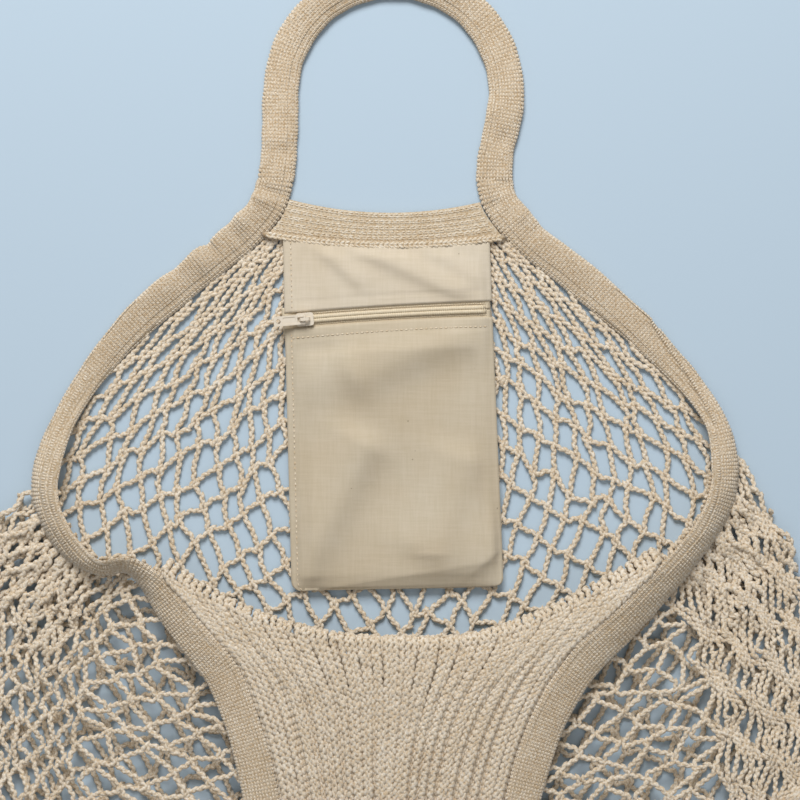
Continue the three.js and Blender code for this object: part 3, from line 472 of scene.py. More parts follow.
# Handles
# Each handle is the same knitted strip carried on past the net as a loop: up one leg, round an arch
# and down the other leg, sewn to the ends of the mouth bands.
HANDLE_RADIUS = 62
HANDLE_CENTRE = 261
BACK_LEFT_LEG = [(-62.7, 213.1, 2), (-61, 226, 2), (-60.2, 242, 2)]
BACK_RIGHT_LEG = [(61.4, 242, 2), (57.9, 226, 2), (57.2, 213.1, 2)]
FRONT_LEFT_LEG = [(-65, -205.6, 10), (-64, -220, 9.4), (-63, -233, 4), (-62.2, -246, 2)]
FRONT_RIGHT_LEG = [(62.2, -246, 2), (63, -233, 4), (64, -220, 9.4), (65, -205.6, 10)]
BACK_HANDLE_DENTS = [(1.2, 3, -1.0, 6, 8, 0), (1.6, -4, 0.9, 7, 7, 0.4), (13.4, -3, -0.9, 6, 8, -0.4),
                     (12.6, 4, 0.8, 8, 7, 0)]


def handle_rows(left_leg, middle, right_leg):
    """Rows of a handle, up its left leg, round the arch and down its right leg."""
    sign = math.copysign(1, middle[1])
    turns = np.linspace(math.pi, 0, 10)
    arch = [(middle[0] + HANDLE_RADIUS * math.cos(t), middle[1] + sign * HANDLE_RADIUS * math.sin(t), 2)
            for t in turns]
    return np.array([(*row, 0, 1) for row in (*left_leg, *arch, *right_leg)], float)


knit_strap("handle_back_knit", "handle_back",
           handle_rows(BACK_LEFT_LEG, (2, HANDLE_CENTRE), BACK_RIGHT_LEG), -1, BACK_HANDLE_DENTS)
knit_strap("handle_front_knit", "handle_front",
           handle_rows(FRONT_LEFT_LEG, (0, -HANDLE_CENTRE), FRONT_RIGHT_LEG), 1)

# Bindings
# Between the two bands a coarser knitted strip closes the top of each net wall. Six columns of stitches
# run across it, and the seam that takes in the net's ends is a thick knitted rib along its lower edge.
BACK_BINDING = {"left": (1.8, 0.58), "right": (2.4, 0.88), "bow": (-10, -13)}
FRONT_BINDING = {"left": (20.65, 19.93), "right": (18.6, 18.05), "bow": (3, 3)}
BINDING_GAP = 0.7
BINDING_HALF_DEPTH = 1.5
BINDING_GRID = (60, 10)  # faces along and across
BINDING_EDGE = 1.5  # faces over which both edges are rounded
BINDING_COLUMNS = 6
BINDING_STEP = 3.0
BINDING_STITCH = (3.5, 1.9, 0.85)
STITCH_SINK = 0.1
RIB_STEP = 2.4
RIB_LINK = (7.5, 3.9, 2.9)
RIB_STITCH = (3.0, 2.9, 0.9)
RIB_TOP = 0.42  # share of the rib's height at which its stitches lie
BINDING_COTTON = knitted_cotton("binding_cotton_knit", "#b3a187", "#eae0cd", "#fbf4e8")
# The rib's underlay is the binding's own yarn in a darker copy: painted shade where it shows between and
# beside the rib's stitches.
SHADED_RIB_COTTON = knitted_cotton("binding_rib_knit", "#a8967c", "#b9a88f", "#c9b9a0")


def net_edge(table, net_side, rows, gap):
    """Points beside a band, a gap away from the edge that the net is sewn to."""
    rows = np.atleast_1d(np.asarray(rows, float))
    middle, _, across, _ = band_frame(table, net_side, rows)
    return middle + across * (NET_EDGE * rounded_column(table[:, 4], rows)[:, None] + gap)


def patch(south, north, west, east):
    """The surface between four edge curves: south and north run left to right, west and east upwards."""
    ends = [curve(np.array([t]))[0] for curve in (south, north) for t in (0.0, 1.0)]

    def place(u, v):
        u, v = np.asarray(u, float), np.asarray(v, float)
        a, b = u[:, None], v[:, None]
        ruled = south(u) * (1 - b) + north(u) * b + west(v) * (1 - a) + east(v) * a
        return ruled - (ends[0] * (1 - a) + ends[1] * a) * (1 - b) - (ends[2] * (1 - a) + ends[3] * a) * b
    return place


def bezier(a, middle, b):
    def curve(t):
        s = np.asarray(t, float)[:, None]
        return a * (1 - s) ** 2 + middle * 2 * s * (1 - s) + b * s ** 2
    return curve


def binding_edges(rows):
    """The four edge curves of a binding: lower, upper, left and right."""
    def along(k):
        a = net_edge(LEFT_MOUTH, 1, rows["left"][k], BINDING_GAP)[0]
        b = net_edge(RIGHT_MOUTH, -1, rows["right"][k], BINDING_GAP)[0]
        return bezier(a, (a + b) / 2 + [0, rows["bow"][k], 0], b)

    def side(table, net_side, ends):
        first, last = ends
        return lambda t: net_edge(table, net_side, first + (last - first) * np.asarray(t), BINDING_GAP)
    return along(0), along(1), side(LEFT_MOUTH, 1, rows["left"]), side(RIGHT_MOUTH, -1, rows["right"])


def unit_grid(columns, rows):
    return np.meshgrid(np.linspace(0, 1, columns + 1), np.linspace(0, 1, rows + 1))


def grid(place, columns, rows):
    u, v = unit_grid(columns, rows)
    return place(u.ravel(), v.ravel()).reshape(rows + 1, columns + 1, 3)


def closed_sheet(middle, half):
    """Points and faces of a closed sheet about a grid of middle points, half its depth to either side."""
    normal = unit(np.cross(np.gradient(middle, axis=1), np.gradient(middle, axis=0)))
    rows, columns = middle.shape[:2]
    half = np.broadcast_to(half, (rows, columns))[..., None]
    points = np.concatenate([(middle + normal * depth).reshape(-1, 3) for depth in (half, -half)])
    n = rows * columns
    index = np.arange(n).reshape(rows, columns)
    quads = np.stack([index[:-1, :-1], index[:-1, 1:], index[1:, 1:], index[1:, :-1]], -1).reshape(-1, 4)
    rim = np.r_[index[0, :-1], index[:-1, -1], index[-1, :0:-1], index[:0:-1, 0]]
    walls = np.stack([rim, rim + n, np.roll(rim, -1) + n, np.roll(rim, -1)], -1)
    return points, np.concatenate([quads, quads[:, ::-1] + n, walls]).tolist()


def knit_binding(name, cad_node, rows, rib_edge, rib_lift):
    """A knitted strip between the bands, its stitches in six columns, with a thick rib on one edge."""
    place = patch(*binding_edges(rows))

    def laid(u, v, lift):
        """Places on the strip, lifted, with the directions along it and up."""
        along = place(np.minimum(u + 0.01, 1), v) - place(np.maximum(u - 0.01, 0), v)
        return place(u, v) + UP * lift, along, np.broadcast_to(UP, along.shape)

    middle = grid(place, *BINDING_GRID)
    step = np.arange(BINDING_GRID[1] + 1)
    edge = np.minimum(np.minimum(step, step[::-1])[:, None] / BINDING_EDGE, 1)
    half = BINDING_HALF_DEPTH * np.sqrt(np.clip(1 - (1 - edge) ** 2 * 0.75, 0.05, 1))
    # The skin takes a low relief, so it is painted shaded where it shows between the stitches.
    piece = new_piece(name, *closed_sheet(middle, half), BINDING_COTTON, relief=0.3)
    length = lengths_along(middle[len(step) // 2])[-1]
    along = np.arange(1.2, length - 1, BINDING_STEP) / length
    across = np.arange(0.5, BINDING_COLUMNS) / BINDING_COLUMNS
    u, v = (k.ravel() for k in np.meshgrid(along, across))
    spots = laid(u, v, BINDING_HALF_DEPTH - STITCH_SINK)
    lay(piece, KNIT_STITCH, BINDING_STITCH, BINDING_COTTON, *spots, uneven=0.06, seed=7)
    u = np.arange(0.6, length - 0.4, RIB_STEP) / length
    v = np.full(len(u), rib_edge)
    lay(piece, THREAD_STITCH, RIB_LINK, SHADED_RIB_COTTON, *laid(u, v, rib_lift), uneven=0.04, seed=9)
    spots = laid(u, v, rib_lift + RIB_LINK[2] * RIB_TOP)
    lay(piece, KNIT_STITCH, RIB_STITCH, BINDING_COTTON, *spots, uneven=0.08, seed=10)
    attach(piece, "bag")
    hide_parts(cad_node)


knit_binding("binding_back_knit", "binding_back", BACK_BINDING, 0.02, 2.6)
knit_binding("binding_front_knit", "binding_front", FRONT_BINDING, 0.94, 0.9)

# Net
# The sack is one knitted cotton net. Each wale is a chain of yarn links that is joined to its left and its
# right neighbour in turn, so it hangs open in diamonds, and closes up where it is gathered into a seam.
LEFT_SIDE = [(-222, -155), (-235, -115), (-240, -70), (-238, -30), (-229, 5), (-214.5, 31), (-196, 46)]
RIGHT_SIDE = [(222, -157), (235, -120), (239.9, -80), (234, -40), (224, -4), (212, 26.5), (202, 44),
              (193, 60)]
BOTTOM = [LEFT_SIDE[0], (-196, -188), (-150, -207), (-80, -215), (0, -217.5), (80, -215), (150, -207),
          (196, -189), RIGHT_SIDE[0]]
LEFT_EDGE_ROWS = [7.2, 6.4, 5.6, 4.8, 4, 3.2, 2.5]  # of the bands, where the back wall is sewn on
RIGHT_EDGE_ROWS = [7.4, 6.6, 5.8, 5, 4.2, 3.4]
BACK_HEIGHT = 1.5
FRONT_HEIGHT = 4.9
NET_GAP = 0.7
FLAP_GAP = 1.3
BINDING_TUCK = 0.35  # how far the net's ends lie beyond a binding's edge
STRAND = 2.8  # width of one wale
HALF_STRAND = 0.46 * STRAND  # from the middle of a join to each of its wales
LINK_STEP = 2.0
LINK_STRAY = 0.12
LINK_REACH = 0.8  # along a wale to either side, from which a link's direction is found
LINK_ASIDE = 0.34  # how far links lie to the left and the right of the wale in turn
LINK_TURN = 0.3  # and how much they are turned that way
LINK_SIZE = (4.6, 2.45, 2.3)
NEARLY_UP = np.array([0.05, 0.0, 1.0])
ON_FLOOR = 0.05
BOW = 0.9  # how far strands stray between two joins
JOINED = 1.7  # half the length over which two wales run side by side
JOIN_STRAY = (1.5, 2.0)  # how far joins stray across and along
BACK_SLACK = 0.9  # how high the back wall's wales lie in places
BACK_WALES = 53
BACK_ROWS = (-38, 28)
WALE_SPACING = 9.1  # where the net hangs free, below the pull of the binding
PULL_FROM, PULL_TO = 30, 262  # height from which wales lean inwards, height at which they would meet
PULL_BEND = 40  # over which they begin to lean
NET_ROW = 11.0  # half the height of a diamond
ROW_TILT = 0.58  # rows climb to both sides, because the sides hang from the bands
ROW_BEND = 20  # over which they turn in the middle
SIDE_SEAM = (-150, 46)  # heights between which wales end at the sides
SEAM_SHORT, SEAM_RISE = 0.6, 2.4  # there they stop short and turn up to the front wall
SEWN_IN = 3.5  # elsewhere they go on into a band, the binding or the bottom seam
NET_COTTON = knitted_cotton("net_cotton_yarn", "#a08c70", "#dfd3be", "#f5ede0")
NET_LINK = yarn_link("net_link")


def evenly(points):
    """A smooth curve through points, followed at an even pace."""
    points = np.asarray(points, float)
    line = spline(points, np.linspace(0, len(points) - 1, 1500))
    run = lengths_along(line)
    return lambda t: on_line(line, run, np.asarray(t) * run[-1])


def at_height(points, z):
    return [(p[0], p[1], z) for p in points]


def chain(lines, seed):
    """Places and directions of the links along wales, turned to the left and the right in turn."""
    chance = np.random.default_rng(seed)
    spots, turns, ups = [], [], []
    for line in lines:
        dense = spline(line, np.linspace(0, len(line) - 1, 6 * len(line)))
        run = lengths_along(dense)
        at = np.arange(chance.random() * LINK_STEP, run[-1], LINK_STEP)
        at = at + chance.normal(0, LINK_STRAY, len(at))
        spot, ahead, behind = (on_line(dense, run, at + reach) for reach in (0, LINK_REACH, -LINK_REACH))
        along = unit(ahead - behind + 1e-6)
        side = unit(np.cross(along, NEARLY_UP) + 1e-6)
        swing = np.where(np.arange(len(at)) % 2, 1.0, -1.0)[:, None]
        spots.append(spot + side * swing * LINK_ASIDE)
        turns.append(along + side * swing * LINK_TURN)
        ups.append(np.cross(side, along))
    return np.concatenate(spots), np.concatenate(turns), np.concatenate(ups)


def net_piece(name, cad_node, lines, link, seed):
    """A part of the net, made of links along the middle lines of its wales."""
    piece = new_piece(name, [], [], NET_COTTON)
    lay(piece, NET_LINK, link, NET_COTTON, *chain(lines, seed), uneven=0.1, seed=seed)
    # Links that lie on the floor are pressed flat on it.
    places = np.empty(3 * len(piece.data.vertices))
    piece.data.vertices.foreach_get("co", places)
    places[2::3] = np.maximum(places[2::3], ON_FLOOR * MM)
    piece.data.vertices.foreach_set("co", places)
    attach(piece, "bag")
    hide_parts(cad_node)


def back_north(t):
    """The back wall's upper edge, under the binding."""
    return (back_binding[0](t) - [0, BINDING_TUCK, 0]) * [1, 1, 0] + [0, 0, BACK_HEIGHT]


zero, one = np.array([0.0]), np.array([1.0])
back_binding = binding_edges(BACK_BINDING)
back_south = evenly(at_height(BOTTOM, BACK_HEIGHT))
back_west = evenly([*at_height(LEFT_SIDE, BACK_HEIGHT),
                    *at_height(net_edge(LEFT_MOUTH, 1, LEFT_EDGE_ROWS, NET_GAP), BACK_HEIGHT),
                    back_north(zero)[0]])
back_east = evenly([*at_height(RIGHT_SIDE, BACK_HEIGHT),
                    *at_height(net_edge(RIGHT_MOUTH, -1, RIGHT_EDGE_ROWS, NET_GAP), BACK_HEIGHT),
                    back_north(one)[0]])


def back_place(g, j, stray):
    """Where two wales join on the floor: wales lean in towards the binding, rows climb to the sides."""
    x = (g - BACK_WALES / 2) * WALE_SPACING + stray[0]
    y = NET_ROW * j + ROW_TILT * np.hypot(x, ROW_BEND) + stray[1]
    lean = (y - PULL_FROM + np.hypot(y - PULL_FROM, PULL_BEND)) / 2 / (PULL_TO - PULL_FROM)
    return np.stack([x * np.maximum(1 - lean, 0.1), y], -1)


def inside(outline, points):
    """Which points lie within a closed outline."""
    x, y = points[:, 0:1], points[:, 1:2]
    x0, y0 = outline.T
    x1, y1 = np.roll(outline, -1, axis=0).T
    crossed = ((y0 > y) != (y1 > y)) & (x < (x1 - x0) * (y - y0) / (y1 - y0 + 1e-12) + x0)
    return crossed.sum(1) % 2 == 1


def sewn_in(line, outline):
    """Ends a wale at the wall's outline, where it is sewn in."""
    for end, next_to in ((0, 1), (-1, -2)):
        low, high = line[next_to], line[end]
        for _ in range(12):
            middle = (low + high) / 2
            low, high = (middle, high) if inside(outline, middle[None])[0] else (low, middle)
        out = unit((line[end] - line[next_to])[None])[0]
        at_side = SIDE_SEAM[0] < low[1] < SIDE_SEAM[1]
        line[end] = low + (UP * SEAM_RISE - out * SEAM_SHORT if at_side else out * SEWN_IN)
    return line


def back_wales():
    """Middle lines of the back wall's wales, from the bottom seam or a side to a band or the binding."""
    chance = np.random.default_rng(11)
    t = np.linspace(0, 1, 200)
    outline = np.concatenate([back_south(t), back_east(t), back_north(t[::-1]), back_west(t[::-1])])[:, :2]
    rows = np.arange(*BACK_ROWS)
    k = np.arange(len(rows))
    stray = chance.normal(0, 1, (2, BACK_WALES + 1, len(rows)))
    rise = chance.random((BACK_WALES + 1, len(rows)))
    lines = []
    for i in range(BACK_WALES):
        right = (i + rows) % 2 == 0
        g = np.where(right, i + 1, i)
        join = back_place(g, rows, [stray[axis, g, k] * JOIN_STRAY[axis] for axis in (0, 1)])
        along = unit(np.gradient(back_place(np.full(len(rows), i + 0.5), rows, (0, 0)), axis=0))
        side = np.c_[along[:, 1], -along[:, 0]] * np.where(right, -1, 1)[:, None]
        pair = (join + side * HALF_STRAND)[:, None] + along[:, None] * [[[-JOINED], [JOINED]]]
        between = (pair[:-1, 1] + pair[1:, 0]) / 2 + chance.normal(0, BOW, (len(rows) - 1, 2))
        between = np.concatenate([between, between[-1:]])[:, None]
        path = np.concatenate([pair, between], axis=1).reshape(-1, 2)[:-1]
        line = np.c_[path, np.repeat(BACK_HEIGHT + BACK_SLACK * rise[g, k], 3)[:-1]]
        held = np.flatnonzero(inside(outline, line))
        for run in np.split(held, np.flatnonzero(np.diff(held) > 1) + 1):
            if len(run) > 1:
                lines.append(sewn_in(line[max(run[0] - 1, 0):run[-1] + 2].copy(), outline))
    return lines


back_lines = back_wales()
half_way = len(back_lines) // 2
net_piece("net_back_left_half", "net_back", back_lines[:half_way], LINK_SIZE, 21)
net_piece("net_back_right_half", "net_back", back_lines[half_way:], LINK_SIZE, 22)

# Front wall, fold and flap
# The front of the sack rises from the bottom seam to the mouth. Its middle is turned down outwards over
# itself in a fold, so its wales crowd together there and run down the flap to the front binding.
FOLD = [(-104, -11.5, 26, 5.6), (-72, -26, 26, 4.4), (-33, -36.8, 26, 4), (5, -39.5, 26, 4),
        (44, -38, 26, 4), (82, -26, 26, 4.4), (115, -10.5, 25.6, 5.4)]
FOLD_END_ROLL = 8
LEFT_FOLD_ROW = 14
RIGHT_FOLD_ROW = 12.5
FOLD_POINTS = 7  # of a wale, round the fold
LEFT_FLAP_ROWS = [LEFT_FOLD_ROW, 15, 16, 17, 18, 19, 19.9]  # of the mouth bands, beside the flap
RIGHT_FLAP_ROWS = [RIGHT_FOLD_ROW, 13, 14, 15, 16, 17, 18]
LEFT_LOBE = (-166, 9, 4.9)
RIGHT_LOBE = (171, 28, 4.9)
LOBE = 1 / 7
FRONT_RISE = 1.25
FRONT_WIDTH = 460  # by which a strand's width is made a share of the wall's width
CRINKLE = 4.0  # how high the slack net of the front stands up in places
FRONT_WALES = 62
FRONT_WALES_AT = [(0, 0), (14, LOBE), (42, 1 - LOBE), (62, 1)]  # number of a wale, share of the width
FRONT_ROWS = 26
FRONT_STRAY = (0.18, 0.2)  # how far joins stray across and along, in shares of a diamond
FRONT_JOINED = 0.2  # half the length over which two wales run side by side, as a share of a row
FLAP_WALES = 68
FLAP_ROWS = 33
FLAP_SPREAD = 0.25  # how much wider than in the middle they lie at both sides
FLAP_CLING = 0.85  # how close two to four neighbours of them cling together
FLAP_SINK = 2.9  # how deep a further wale lies behind each slit between them
FOLD_SINK = 0.3  # and the share of that depth on the fold
FLAP_RISE = 1.9  # how much higher every other wale lies
FLAP_ZIGZAG, FLAP_STRAY = 0.0007, 0.0005  # shares of the flap's width
GATHER_REACH = 52
GATHER_START = (5, 3.2)  # out from the middle of a band and below it
GATHER_LINK = (5.4, 3.2, 3.0)
FLAP_LINK = (5.0, 3.15, 2.9)
COLLARS = [(LEFT_MOUTH, 1, 8.9, 14.0), (RIGHT_MOUTH, -1, 12.5, 9.4)]  # band, net side, first and last row
UNDER_COLLAR = [(3, 4.2), (6.6, 3.9), (8.4, 3.2)]  # where a lobe's wales end: across a band, below it
LOBE_MIDDLE, LOBE_MARGIN = (0, -80), 2.0

fold_ends = [net_edge(LEFT_MOUTH, 1, LEFT_FOLD_ROW, FLAP_GAP)[0],
             net_edge(RIGHT_MOUTH, -1, RIGHT_FOLD_ROW, FLAP_GAP)[0]]
fold_rows = np.array([(*fold_ends[0], FOLD_END_ROLL), *FOLD, (*fold_ends[1], FOLD_END_ROLL)])
fold_fine = np.linspace(0, len(fold_rows) - 1, 1500)
fold_line = spline(fold_rows[:, :3], fold_fine)
fold_run = lengths_along(fold_line)


def round_fold(t, turn, sink=0.0):
    """Points round the fold, from the wall below it (0) to the flap on top (1)."""
    at = np.interp(np.asarray(t) * fold_run[-1], fold_run, fold_fine)
    crest = spline(fold_rows[:, :3], at)
    tangent = spline(fold_rows[:, :3], at + NUDGE) - spline(fold_rows[:, :3], at - NUDGE)
    inward = unit(np.c_[-tangent[:, 1], tangent[:, 0], np.zeros(len(at))])
    radius = np.interp(at, np.arange(len(fold_rows)), fold_rows[:, 3])[:, None]
    angle = np.pi * np.asarray(turn)[:, None]
    inner = radius - sink
    return crest + inward * inner * np.sin(angle) - UP * (radius + inner * np.cos(angle))


front_west = evenly(at_height(LEFT_SIDE, FRONT_HEIGHT))
front_east = evenly(at_height(RIGHT_SIDE, FRONT_HEIGHT))
left_lobe = evenly([front_west(one)[0], LEFT_LOBE, round_fold(zero, zero)[0]])
right_lobe = evenly([round_fold(one, zero)[0], RIGHT_LOBE, front_east(one)[0]])


def front_top(u):
    """The front wall's upper edge: the left lobe, the fold and the right lobe."""
    u = np.asarray(u, float)
    along = np.clip((u - LOBE) / (1 - 2 * LOBE), 0, 1)
    top = round_fold(along, np.zeros(len(u)))
    top = np.where((u < LOBE)[:, None], left_lobe(np.clip(u / LOBE, 0, 1)), top)
    return np.where((u > 1 - LOBE)[:, None], right_lobe(np.clip((u - 1 + LOBE) / LOBE, 0, 1)), top)


front_south = evenly(at_height(BOTTOM, FRONT_HEIGHT))
front_patch = patch(front_south, front_top, front_west, front_east)


def front_wall(u, v):
    place = front_patch(u, v)
    place[:, 2] = FRONT_HEIGHT + (front_top(u)[:, 2] - FRONT_HEIGHT) * np.asarray(v) ** FRONT_RISE
    return place


flap_west = evenly(net_edge(LEFT_MOUTH, 1, LEFT_FLAP_ROWS, FLAP_GAP))
flap_east = evenly(net_edge(RIGHT_MOUTH, -1, RIGHT_FLAP_ROWS, FLAP_GAP))
front_binding = binding_edges(FRONT_BINDING)


def flap_end(t):
    """The flap's end, under the front binding, with its corners at the bands."""
    t = np.asarray(t, float)
    ends = flap_west(one) * (1 - t)[:, None] + flap_east(one) * t[:, None]
    share = (np.abs(2 * t - 1) ** 6)[:, None]
    return (front_binding[1](t) + [0, BINDING_TUCK, 0]) * (1 - share) + ends * share


flap = patch(lambda t: round_fold(t, np.ones(len(t))), flap_end, flap_west, flap_east)


def front_crinkle(place, v, rise):
    """How the slack net stands up and wanders, though it lies close under the bands and at the seams."""
    x, y, _ = place.T
    waves = np.sin(x / 6.1 + y / 9.7) * np.sin(x / 11.3 - y / 5.9 + 1.3) + np.sin(y / 4.7 - x / 14.1)
    calm = np.clip(v / 0.08, 0, 1) * np.clip((1.02 - v) / 0.12, 0, 1)
    wander = 1.0 + 1.6 * np.clip((x - 90) / 60, 0, 1)
    return np.stack([calm * wander * np.sin(y / 4.1 + x / 7.3), calm * wander * np.sin(x / 4.6 - y / 8.1),
                     calm * CRINKLE * (0.15 * (waves + 2) + 0.5 * rise)], -1)


def front_wales():
    """Middle lines of the front wall's wales, from the bottom seam up to the fold or under the collar."""
    chance = np.random.default_rng(13)
    shape = (FRONT_WALES + 1, FRONT_ROWS + 1)
    stray_u, stray_v = (chance.normal(0, stray, shape) for stray in FRONT_STRAY)
    rise = chance.random(shape)
    share = np.interp(np.arange(FRONT_WALES + 1), *np.array(FRONT_WALES_AT, float).T)
    j = np.arange(FRONT_ROWS + 1)
    lines = []
    for i in range(FRONT_WALES):
        right = (i + j) % 2 == 0
        g = np.where(right, i + 1, i)
        room = share[i + 1] - share[i]
        u = share[g] + stray_u[g, j] * room * ((g > 0) & (g < FRONT_WALES))
        u = np.clip(u + np.where(right, -1, 1) * min(HALF_STRAND / FRONT_WIDTH, room / 2), 0, 1)
        v = np.clip((j + stray_v[g, j] * (j > 0) * (j < FRONT_ROWS)) / FRONT_ROWS, 0, 1)
        u, rising = np.repeat(u, 2), np.repeat(rise[g, j], 2)
        v = np.clip((v[:, None] + np.array([-1, 1]) * FRONT_JOINED / FRONT_ROWS).ravel(), 0, 1)
        line = front_wall(u, v)
        line = line + front_crinkle(line, v, rising)
        middle = (share[i] + share[i + 1]) / 2
        if middle < LOBE or middle > 1 - LOBE:
            left = middle < LOBE
            t = middle / LOBE if left else (middle - 1 + LOBE) / LOBE
            table, net_side, first, last = COLLARS[0 if left else 1]
            at, _, across, face = band_frame(table, net_side, [first + (last - first) * t])
            line = np.concatenate([line, *(at + across * w - face * h for w, h in UNDER_COLLAR)])
        lines.append(line)
    return lines


def flap_wales():
    """Middle lines of the crowded wales that go over the fold and down the flap to the front binding."""
    chance = np.random.default_rng(17)
    places = []  # number of the wale, and how deep it lies
    first = 0
    while first < FLAP_WALES:
        together = np.arange(first, min(first + chance.integers(2, 5), FLAP_WALES))
        places += [(n, 0.0) for n in together.mean() + (together - together.mean()) * FLAP_CLING]
        places.append((together[-1] + 0.5, FLAP_SINK))
        first = together[-1] + 1
    rows = np.arange(1, FLAP_ROWS + 1) / FLAP_ROWS
    lines = []
    for i, (number, sink) in enumerate(places):
        t = np.clip((number + chance.normal(0, 0.06)) / (FLAP_WALES - 1), 0, 1)
        t += FLAP_SPREAD * np.sin(2 * np.pi * t) / (2 * np.pi)
        turn = np.linspace(-0.1, 0.9, FOLD_POINTS)
        roll = round_fold(np.full(FOLD_POINTS, t), turn, FOLD_SINK * sink)
        zigzag = np.where((np.arange(FLAP_ROWS) + i) % 2, 1, -1) * FLAP_ZIGZAG
        swing = zigzag + chance.normal(0, FLAP_STRAY, FLAP_ROWS)
        down = flap(np.clip(t + swing, 0, 1), rows)
        raised = FLAP_RISE * (i % 2) * (sink == 0) * np.clip(rows * 1.6, 0, 1) ** 1.3
        sunk = sink * np.clip(FOLD_SINK + 6 * rows, 0, 1)
        down[:, 2] += raised - sunk - 0.3 + 0.5 * chance.random(FLAP_ROWS)
        lines.append(np.concatenate([roll, down, down[-1:] + unit(down[-1:] - down[-2:-1]) * 2]))
    return lines


def gathered(table, net_side, rows, count, fall, seed):
    """Strands of the slack net that spread out from under the collar, where it is gathered."""
    chance = np.random.default_rng(seed)
    way = np.linspace(0, 1, 20)
    lines = []
    for k in range(count):
        row = rows[0] + (rows[1] - rows[0]) * (k + chance.random()) / count
        middle, _, across, face = (v[0] for v in band_frame(table, net_side, [row]))
        start = middle - across * GATHER_START[0] - face * GATHER_START[1]
        out = unit(unit(-across * [1, 1, 0]) + np.array([0, fall, 0]))
        reach = GATHER_REACH * (0.7 + 0.5 * chance.random())
        aside = np.cross(UP, out)
        # Neighbours sway to opposite sides, so that they cross, and wander further the further out they are.
        sway = (1.9 * np.sin(way * reach / 3.2 + (k % 2) * np.pi) * np.minimum(5 * way, 1)
                + 2.6 * np.sin(way * 4 + chance.random() * 6) * way)
        line = start + out * (way * reach)[:, None] + aside * sway[:, None]
        settle = FRONT_HEIGHT + 1.0 + 4.5 * chance.random() * (1 - way) + 1.6 * np.sin(way * 9 + k)
        settled = np.minimum(way * 2.5, 1)
        line[:, 2] = start[2] * (1 - settled) + settle * settled
        held = inside(front_outline, line)
        kept = len(line) if held.all() else int(np.argmin(held))
        if kept > 4:
            lines.append(line[:kept])
    return lines


# The outline's upper side is the lobes' edge, which lies under the collar; strands start a little outside
# it, so it is widened from the middle of the wall.
t = np.linspace(0, 1, 120)
front_edges = [front_south(t), front_east(t), front_top(t[::-1]), front_west(t[::-1])]
front_outline = np.concatenate(front_edges)[:, :2]
front_outline = front_outline + unit(front_outline - LOBE_MIDDLE) * LOBE_MARGIN
front_lines = front_wales()
half_way = FRONT_WALES // 2
net_piece("net_front_left_half", "net_front", front_lines[:half_way], LINK_SIZE, 31)
net_piece("net_front_right_half", "net_front", front_lines[half_way:], LINK_SIZE, 32)
net_piece("net_front_flap", "net_front", flap_wales(), FLAP_LINK, 33)
gathers = gathered(LEFT_MOUTH, 1, rows=(8.8, 11.6), count=22, fall=-0.35, seed=61)
gathers += gathered(RIGHT_MOUTH, -1, rows=(8.9, 12.2), count=21, fall=-0.9, seed=62)
net_piece("net_front_gathers", "net_front", gathers, GATHER_LINK, 34)

# Bottom seam
# The two walls are chain-sewn together along the bottom of the sack with the same yarn.
seam_middle = evenly(at_height(BOTTOM, (BACK_HEIGHT + FRONT_HEIGHT) / 2))
net_piece("net_bottom_seam", "net_back", [seam_middle(np.linspace(0.002, 0.998, 160))], FLAP_LINK, 41)

# Pocket
# A flat pocket of unbleached calico hangs inside from the back binding. Its front is two panels either side
# of the zip, folded under at the zip and sewn to the back panel along a narrow margin.
CLOTH_HALF = 0.5
POCKET_BACK_HEIGHT = 3.95
SEAM_HEIGHT = 5.5
SEAM_REACH = 6.0  # how far in from the side seams the cloth is held down
ZIP_CLOTH_HEIGHT = 7.6
ZIP_MIDDLE = np.array([-2, 140.4])
ZIP_ANGLE = math.radians(5)
ZIP_HALF_SLOT = 4.3
ZIP_DROOP = 3.1
DROOP_FROM, DROOP_LENGTH = -43, 96
DROOP_REACH = 30  # how far above and below the zip the cloth goes with it
ZIP_SEAM = 5.6  # from the folded edge below the zip to its stitches
ZIP_ALLOWANCE = 5.5  # from the folded edge above the zip to the end of the seam allowance
TOP_LEFT, TOP_RIGHT = np.array([-58.6, 176.4]), np.array([54.6, 176.4])
LOW_LEFT, LOW_RIGHT = np.array([-53.8, -12.0]), np.array([62.2, -9.6])
TOP_SHORT, TOP_SINK = 0.3, 0.4  # of the upper edge, below the rib
BACK_GRID = (30, 46)  # faces across and up
UPPER_GRID = (84, 28)
LOWER_GRID = (84, 108)
CREASE_ROW = 12  # row of the lower grid that follows the crease at the bottom
BACK_HEM, BACK_SHORT = 0.8, 1.2  # how much less wide and long than the front the back panel is
SWELLS = [(-20, 95, 1.4, 34), (28, 70, 1.2, 30), (0, 45, -0.9, 22), (34, 22, 1.5, 26), (-24, 16, 1.0, 24)]
# Creases: from, to, how high, and how far they reach to the left and the right of their way.
UPPER_CREASES = [(-16, 175, 36, 153, 2.2, 8, 4.5), (-38, 176, -20, 160, 1.8, 7, 4),
                 (20, 176, 46, 162, 1.0, 6, 4)]
LOWER_CREASES = [
    (-54, 121, -34, 122, -1.3, 5, 6), (-50, 101, -26, 106, 2.4, 12, 14), (-16, 106, 36, 132, 4.2, 18, 13),
    (-14, 66, -50, -2, 5.2, 12, 20), (40, 58, 24, 12, 3.2, 12, 22), (20, 8.5, 21, 8.5, 0.6, 1, 1),
]
CREASE_FADE = 9  # how far a crease goes on past its ends
CORNER_ROUND = 5.0
POCKET_LENGTH = 187
LOWER_LENGTH, LOWER_WIDTH = 148, 116  # of the panel below the zip
UPPER_WIDTH = 114
LOWER_SEAM, UPPER_SEAM = 3.6, 4.2  # from the left edge to the stitches
CREASE_END = (37, -8.3, 1.2)  # a line on which the folded bottom turns to the right side
